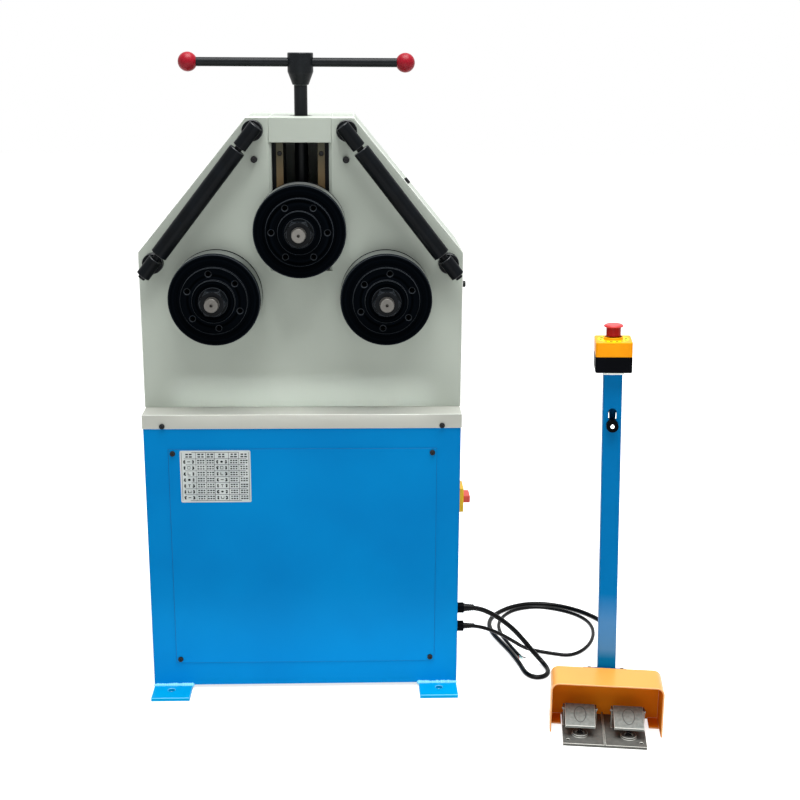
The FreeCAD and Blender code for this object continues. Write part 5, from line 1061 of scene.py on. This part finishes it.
knob_thick, knob_height = 14, 604
knob_frame = on_post @ facing((0, post_face - knob_thick / 2, knob_height), (0, -1, 0))
knob_mesh = grow(tree, bpy.data.meshes.new("empty"), {
    "Radius": 11.5 * MM, "Length": knob_thick * MM, "Ridges": 36, "Depth": 0.5 * MM, "Finish": black_plastic})
knob_mesh.transform(knob_frame)
knob = put(knob_mesh, "post_knob_knurled", "post_knob", "black_plastic")
turned_piece("post_knob_stud", "post_knob", "bare_steel", chrome, knob_frame,
             [(0, -16), (4, -16), (4, 7.0), (3.6, 7.4), (1.4, 7.4), (1.0, 6.4), (0, 6.4)], sides=24)
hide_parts("pole_knob")
print("knurl faces:", len(knob.data.polygons))

# %% [markdown]
# ### The slot in the post
# The knob clamps through a slot that was cut after painting, so its sides are bare and bright. A zinc
# plated strip lines each straight side, and keeps the stud from chewing the tube.

# %% Slot liner
shape = bmesh.new()
slot_half, slot_foot, slot_centre, lining = 7.3, 612, 628, 1.7
for side in (-1, 1):
    profile = ((slot_half, slot_foot), (slot_half, slot_centre), (slot_half - lining * 0.5, slot_centre),
               (slot_half - lining, slot_foot))
    front, back = ([shape.verts.new(on_post @ (Vector((side * across, y, z)) * MM)) for across, z in profile]
                   for y in (post_face + 0.2, post_face + 3.5))
    shape.faces.new(front)
    shape.faces.new(back)
    bridge(shape, front, back)
put(cast_mesh(shape, "slot liner"), "post_slot_liner", "frame", "bare_steel", chrome)

# %% [markdown]
# ### The stop box
# The box sits on the post on a thin zinc plate, drawn in the near-white edge finish so that its edge
# shows as a bright line, a painted highlight. Round the collar of the button, the lid carries a printed
# ring, here as plain dashes with two arrows for the way that the button is twisted to let it go.

# %% Stop box details


def flat_frame(place, outer, inner, levels):
    """A plate with a rectangular hole. Both outlines are left, right, near and far, in millimetres."""
    shape = bmesh.new()
    rings = []
    for (left, right, near, far), height in zip((outer, outer, inner, inner), (*levels, *reversed(levels))):
        rings.append([shape.verts.new(place @ (Vector((x, y, height)) * MM))
                      for x, y in ((left, near), (right, near), (right, far), (left, far))])
    for ring, after in zip(rings, rings[1:] + rings[:1]):
        bridge(shape, ring, after)
    return cast_mesh(shape, "plate with a hole")


plate_half, plate_front, hole_half, plate_levels = 19, 66, 17.6, (708, 705.2)
plate = flat_frame(on_post, (-plate_half, plate_half, plate_front, post_centre + plate_half),
                   (-hole_half, hole_half, post_centre - hole_half, post_centre + hole_half), plate_levels)
# The plate takes the near-white edge finish: a painted highlight along its edge.
put(plate, "estop_box_plate", "frame", "bare_steel", grey_edge_highlight)

turned_piece("estop_lid_ring", "frame", "yellow_plastic", label_yellow,
             on_post @ facing((0, post_centre, 766), (0, 0, 1)),
             [(15, -0.2), (29, -0.2), (29, 0.04), (15, 0.04)], sides=48)

lid_top, ring_radius = 766.10, 24
dashes = [(step * 360 / 14, 0, (6.6, 5.0, ink_thick)) for step in range(14) if step % 7 > 1]
arrows = [(angle, lean, (7.0, 3.4, ink_thick)) for angle in (8, 188) for lean in (-38, 38)]
marks = []
for angle, lean, size in dashes + arrows:
    across, along = (ring_radius * way(math.radians(angle)) for way in (math.cos, math.sin))
    marks.append(block((across, post_centre + along, lid_top), size, (0, 0, angle + 90 + lean)))
ring_mesh = grow(blocks_tree, points_with(marks), {"Vary": 0.3, "Seed": 5, "Finish": label_ink})
ring_mesh.transform(on_post)
put(ring_mesh, "estop_lid_marks", "frame", "black_plastic")
print("stop box marks:", len(marks))

# %% [markdown]
# ### Pedals
# Each pedal is cast with an egg-shaped ridge where the toe presses, drawn darker than the casting. The
# ridge is a thin bead that lies on the slope of the pedal.

# %% Ridges on the pedals
pivot_y, pivot_z, back_y, back_z = -24.5, 30, 34, 47
pedal_slope = math.atan2(back_z - pivot_z, back_y - pivot_y)
ridge_half_width, ridge_half_length, ridge_wire, ridge_middle = 11.2, 20.5, 0.9, 31
ridge_dark = finish("casting dirt along a ridge", "#5A5C5A", 0.5, specular=0.3)[0]
steps = 56
for name, across in (("left", -50.7), ("right", 42.7)):
    foot = Matrix.Translation(Vector((across, pivot_y, pivot_z)) * MM)
    place = on_floor @ foot @ Matrix.Rotation(pedal_slope, 4, "X")
    shape = bmesh.new()
    rings = []
    for step in range(steps):
        cos, sin = (way(math.tau * step / steps) for way in (math.cos, math.sin))
        wide = ridge_half_width * (1 + 0.12 * sin)
        centre = Vector((wide * cos, ridge_middle + ridge_half_length * sin, 0.1))
        outward = Vector((ridge_half_length * cos, wide * sin, 0)).normalized()
        turns = [math.tau * part / 6 for part in range(6)]
        rings.append([shape.verts.new(place @ ((centre + outward * ridge_wire * math.cos(turn)
                                                + Vector((0, 0, ridge_wire * math.sin(turn)))) * MM))
                      for turn in turns])
    for ring, after in zip(rings, rings[1:] + rings[:1]):
        bridge(shape, ring, after)
    put(cast_mesh(shape, "ridge"), name + "_pedal_ridge", "pedal_" + name, "cast_grey", ridge_dark)
print("ridges rise by %.2f mm" % (ridge_wire + 0.1))

# %% [markdown]
# ## The two cables
# A rubber cable leaves the cabinet through a gland, droops to the floor and wanders where it was thrown
# down. A NURBS curve of order three follows its control points loosely, in the way that a stiff cable
# takes the inside of each corner. The longer cable runs to the foot switch and enters the post at the
# back. The mains lead ends in bare cores, ready for a plug of the buyer's own.

# %% Cable routes
control_diameter, mains_diameter = 10.5 * MM, 8 * MM
control_lies, mains_lies = 5.3, 4.1
control_route = [
    (333.7, -165, 138), (364, -165, 138), (404, -162, 117), (440, -159, 87), (466, -155, 56), (490, -154, 25),
    *((x, y, control_lies) for x, y in (
        (511, -168), (516, -204), (502, -227), (479, -229), (464, -209), (458, -166), (446, -110), (428, -54),
        (412, 0), (412, 55), (437, 102), (482, 140), (536, 155), (592, 138), (640, 102), (676, 50), (688, 0),
        (678, -58), (658, -120), (640, -180))),
    (628, -228, 12), (615, -266, 36), (613.33, -304.17, 45.98), (609.09, -335.89, 45.98)]
mains_route = [
    (333.7, -165, 96), (362, -165, 96), (404, -154, 77), (444, -132, 45), (474, -112, 17),
    *((x, y, mains_lies) for x, y in (
        (506, -102), (540, -116), (572, -126), (604, -104), (632, -60), (648, -4), (646, 50), (622, 92),
        (584, 120), (536, 138), (484, 124), (452, 90), (434, 46), (432, 0), (441, -50), (462, -124)))]


def cable(name, route, diameter, colour):
    """A round cable along a route in millimetres."""
    curve = bpy.data.curves.new(name, "CURVE")
    curve.dimensions = "3D"
    curve.bevel_depth = diameter / 2
    curve.bevel_resolution = 5
    curve.resolution_u = 12
    curve.use_fill_caps = True
    line = curve.splines.new("NURBS")
    line.points.add(len(route) - 1)
    for point, place in zip(line.points, route):
        point.co = [part * MM for part in place] + [1]
    line.order_u = 3
    line.use_endpoint_u = True
    curve.materials.append(colour)
    return in_scene(name, curve)


control_cable = cable("control_cable_run", control_route, control_diameter, cable_jacket)
mains_lead = cable("mains_lead_run", mains_route, mains_diameter, cable_jacket)
for piece, node in ((control_cable, "control_cable"), (mains_lead, "mains_lead")):
    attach(piece, "frame")
    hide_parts(node)
print("cables: control %d points, mains %d points" % (len(control_route), len(mains_route)))

# %% [markdown]
# ### The cut end of the mains lead
# An electrician strips the jacket back and leaves three cores in their own PVC. They start a little
# inside the jacket and fan out, each bent in the middle, so each is a short cable of three points.

# %% Three cores
core_length, core_start, core_bend = 16 * MM, 2 * MM, 3 * MM
core_diameter = 2.4 * MM
cut_end = Vector(mains_route[-1]) * MM
end_way = (Vector(mains_route[-1]) - Vector(mains_route[-2])).normalized()
end_side = Vector((-end_way.y, end_way.x, 0))
for name, colour, spread, fan in (("mains_core_live", "#8A2E1E", -2.2, -0.34),
                                  ("mains_core_neutral", "#7FD0D6", 0.1, 0.05),
                                  ("mains_core_earth", "#15181A", 2.1, 0.42)):
    paint = finish(name.replace("_", " ") + " PVC", colour, 0.4)[0]
    start = cut_end + end_side * spread * MM - end_way * core_start
    bend = start + end_way * core_length * 0.5 + end_side * fan * core_bend
    tip = start + (end_way + end_side * fan) * core_length
    core = cable(name, [tuple(place / MM) for place in (start, bend, tip)], core_diameter, paint)
    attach(core, "frame")

# %% [markdown]
# ### Cable glands
# A rubber sleeve in the gland keeps the cable from kinking where it leaves the nut. It is moulded with
# grooves so that it bends, and tapers down on to the jacket over about an inch.

# %% Strain reliefs


def strain_relief(name, start, cable_diameter, length):
    """A grooved sleeve that tapers along a cable from its start. Sizes are in millimetres."""
    thick, thin, bore = cable_diameter * 0.84, cable_diameter * 0.62, cable_diameter * 0.5 - 0.05
    inside, grooves, groove_depth = -4, 5, 0.9
    profile = [(bore, inside), (thick, inside)]
    for groove in range(grooves):
        for share, sunk in ((0.0, 0), (0.62, 0), (0.7, groove_depth), (0.92, groove_depth)):
            along = (groove + share) / grooves
            profile.append((thick + (thin - thick) * along - sunk, length * along))
    profile += [(thin, length), (bore, length)]
    turned_piece(name, "frame", "cable_jacket", cable_jacket, facing(start, (1, 0, 0)), profile, sides=28)


strain_relief("control_cable_relief", control_route[0], control_diameter / MM, 22)
strain_relief("mains_lead_relief", mains_route[0], mains_diameter / MM, 24)
print("strain reliefs fitted")

# %% [markdown]
# ## The switch and the lamp
# The isolator's plate is set on a black gasket, and a chromed ring holds the lens of the lamp. Both are
# stock parts that a fitter drops into a punched hole.

# %% Gasket and bezel
wall_x = 313.7
gasket_half, gasket_hole, gasket_thick = 27.2, 26.05, 2.4
isolator, lamp = (wall_x, -141, 380), (wall_x, -122, 456)
gasket = flat_frame(facing(isolator, (1, 0, 0)), (-gasket_half, gasket_half) * 2,
                    (-gasket_hole, gasket_hole) * 2, (0, gasket_thick))
put(gasket, "isolator_gasket", "frame", "black_plastic", black_plastic)
turned_piece("pilot_lamp_bezel", "frame", "bare_steel", chrome, facing(lamp, (1, 0, 0)),
             [(11.1, 0), (13.6, 0), (13.6, 2.4), (12.6, 3.6), (11.1, 3.6)])
print("switch and lamp dressed")

# %% [markdown]
# ## Motor and reducer
# Behind the head, the fan cowl of the motor draws air through a grille of bars, and six hexagon bolts hold
# the reducer's cap. A brass plug above them is where the oil goes in.

# %% Grille, bolts and plug
cowl_x, motor_y, motor_z, grille_radius = -288.0, 110.2, 715.1, 56
bar_pitch, bar_deep, bar_tall, bar_stands = 8.4, 3.0, 2.6, 0.9
bars = []
for step in range(-6, 7):
    rise = step * bar_pitch
    bars.append(block((cowl_x - bar_stands, motor_y, motor_z + rise),
                      (2 * math.sqrt(grille_radius ** 2 - rise ** 2), bar_deep, bar_tall), (0, 0, 90)))
grille = grow(blocks_tree, points_with(bars), {"Vary": 0.0, "Seed": 1, "Finish": motor_enamel})
put(grille, "motor_cowl_grille", "frame", "motor_grey")
turned_piece("motor_grille_rim", "frame", "motor_grey", motor_enamel,
             facing((cowl_x, motor_y, motor_z), (-1, 0, 0)),
             [(54, 0), (58, 0), (58, 2.2), (57, 3), (55, 3), (54, 2.2)], sides=56)

cap_y, cap_z, bolt_circle, plug = 156.2, 778.1, 46, (36, 90, 850)
shape = bmesh.new()
for step in range(6):
    angle = math.radians(30 + step * 60)
    spot = facing((bolt_circle * math.cos(angle), cap_y, cap_z + bolt_circle * math.sin(angle)), (0, 1, 0))
    turn_on_lathe(shape, spot, [(0, 0), (4.6, 0), (4.6, 3.6), (4.0, 4.2), (0, 4.2)], sides=6)
put(cast_mesh(shape, "reducer bolts"), "reducer_bolts", "frame", "bare_steel", turned_steel)
turned_piece("reducer_oil_plug", "frame", "bronze", bronze, facing(plug, (0, 0, 1)),
             [(0, 0), (8, 0), (8, 5), (6.5, 6.5), (0, 6.5)], sides=6)
print("grille bars:", len(bars))
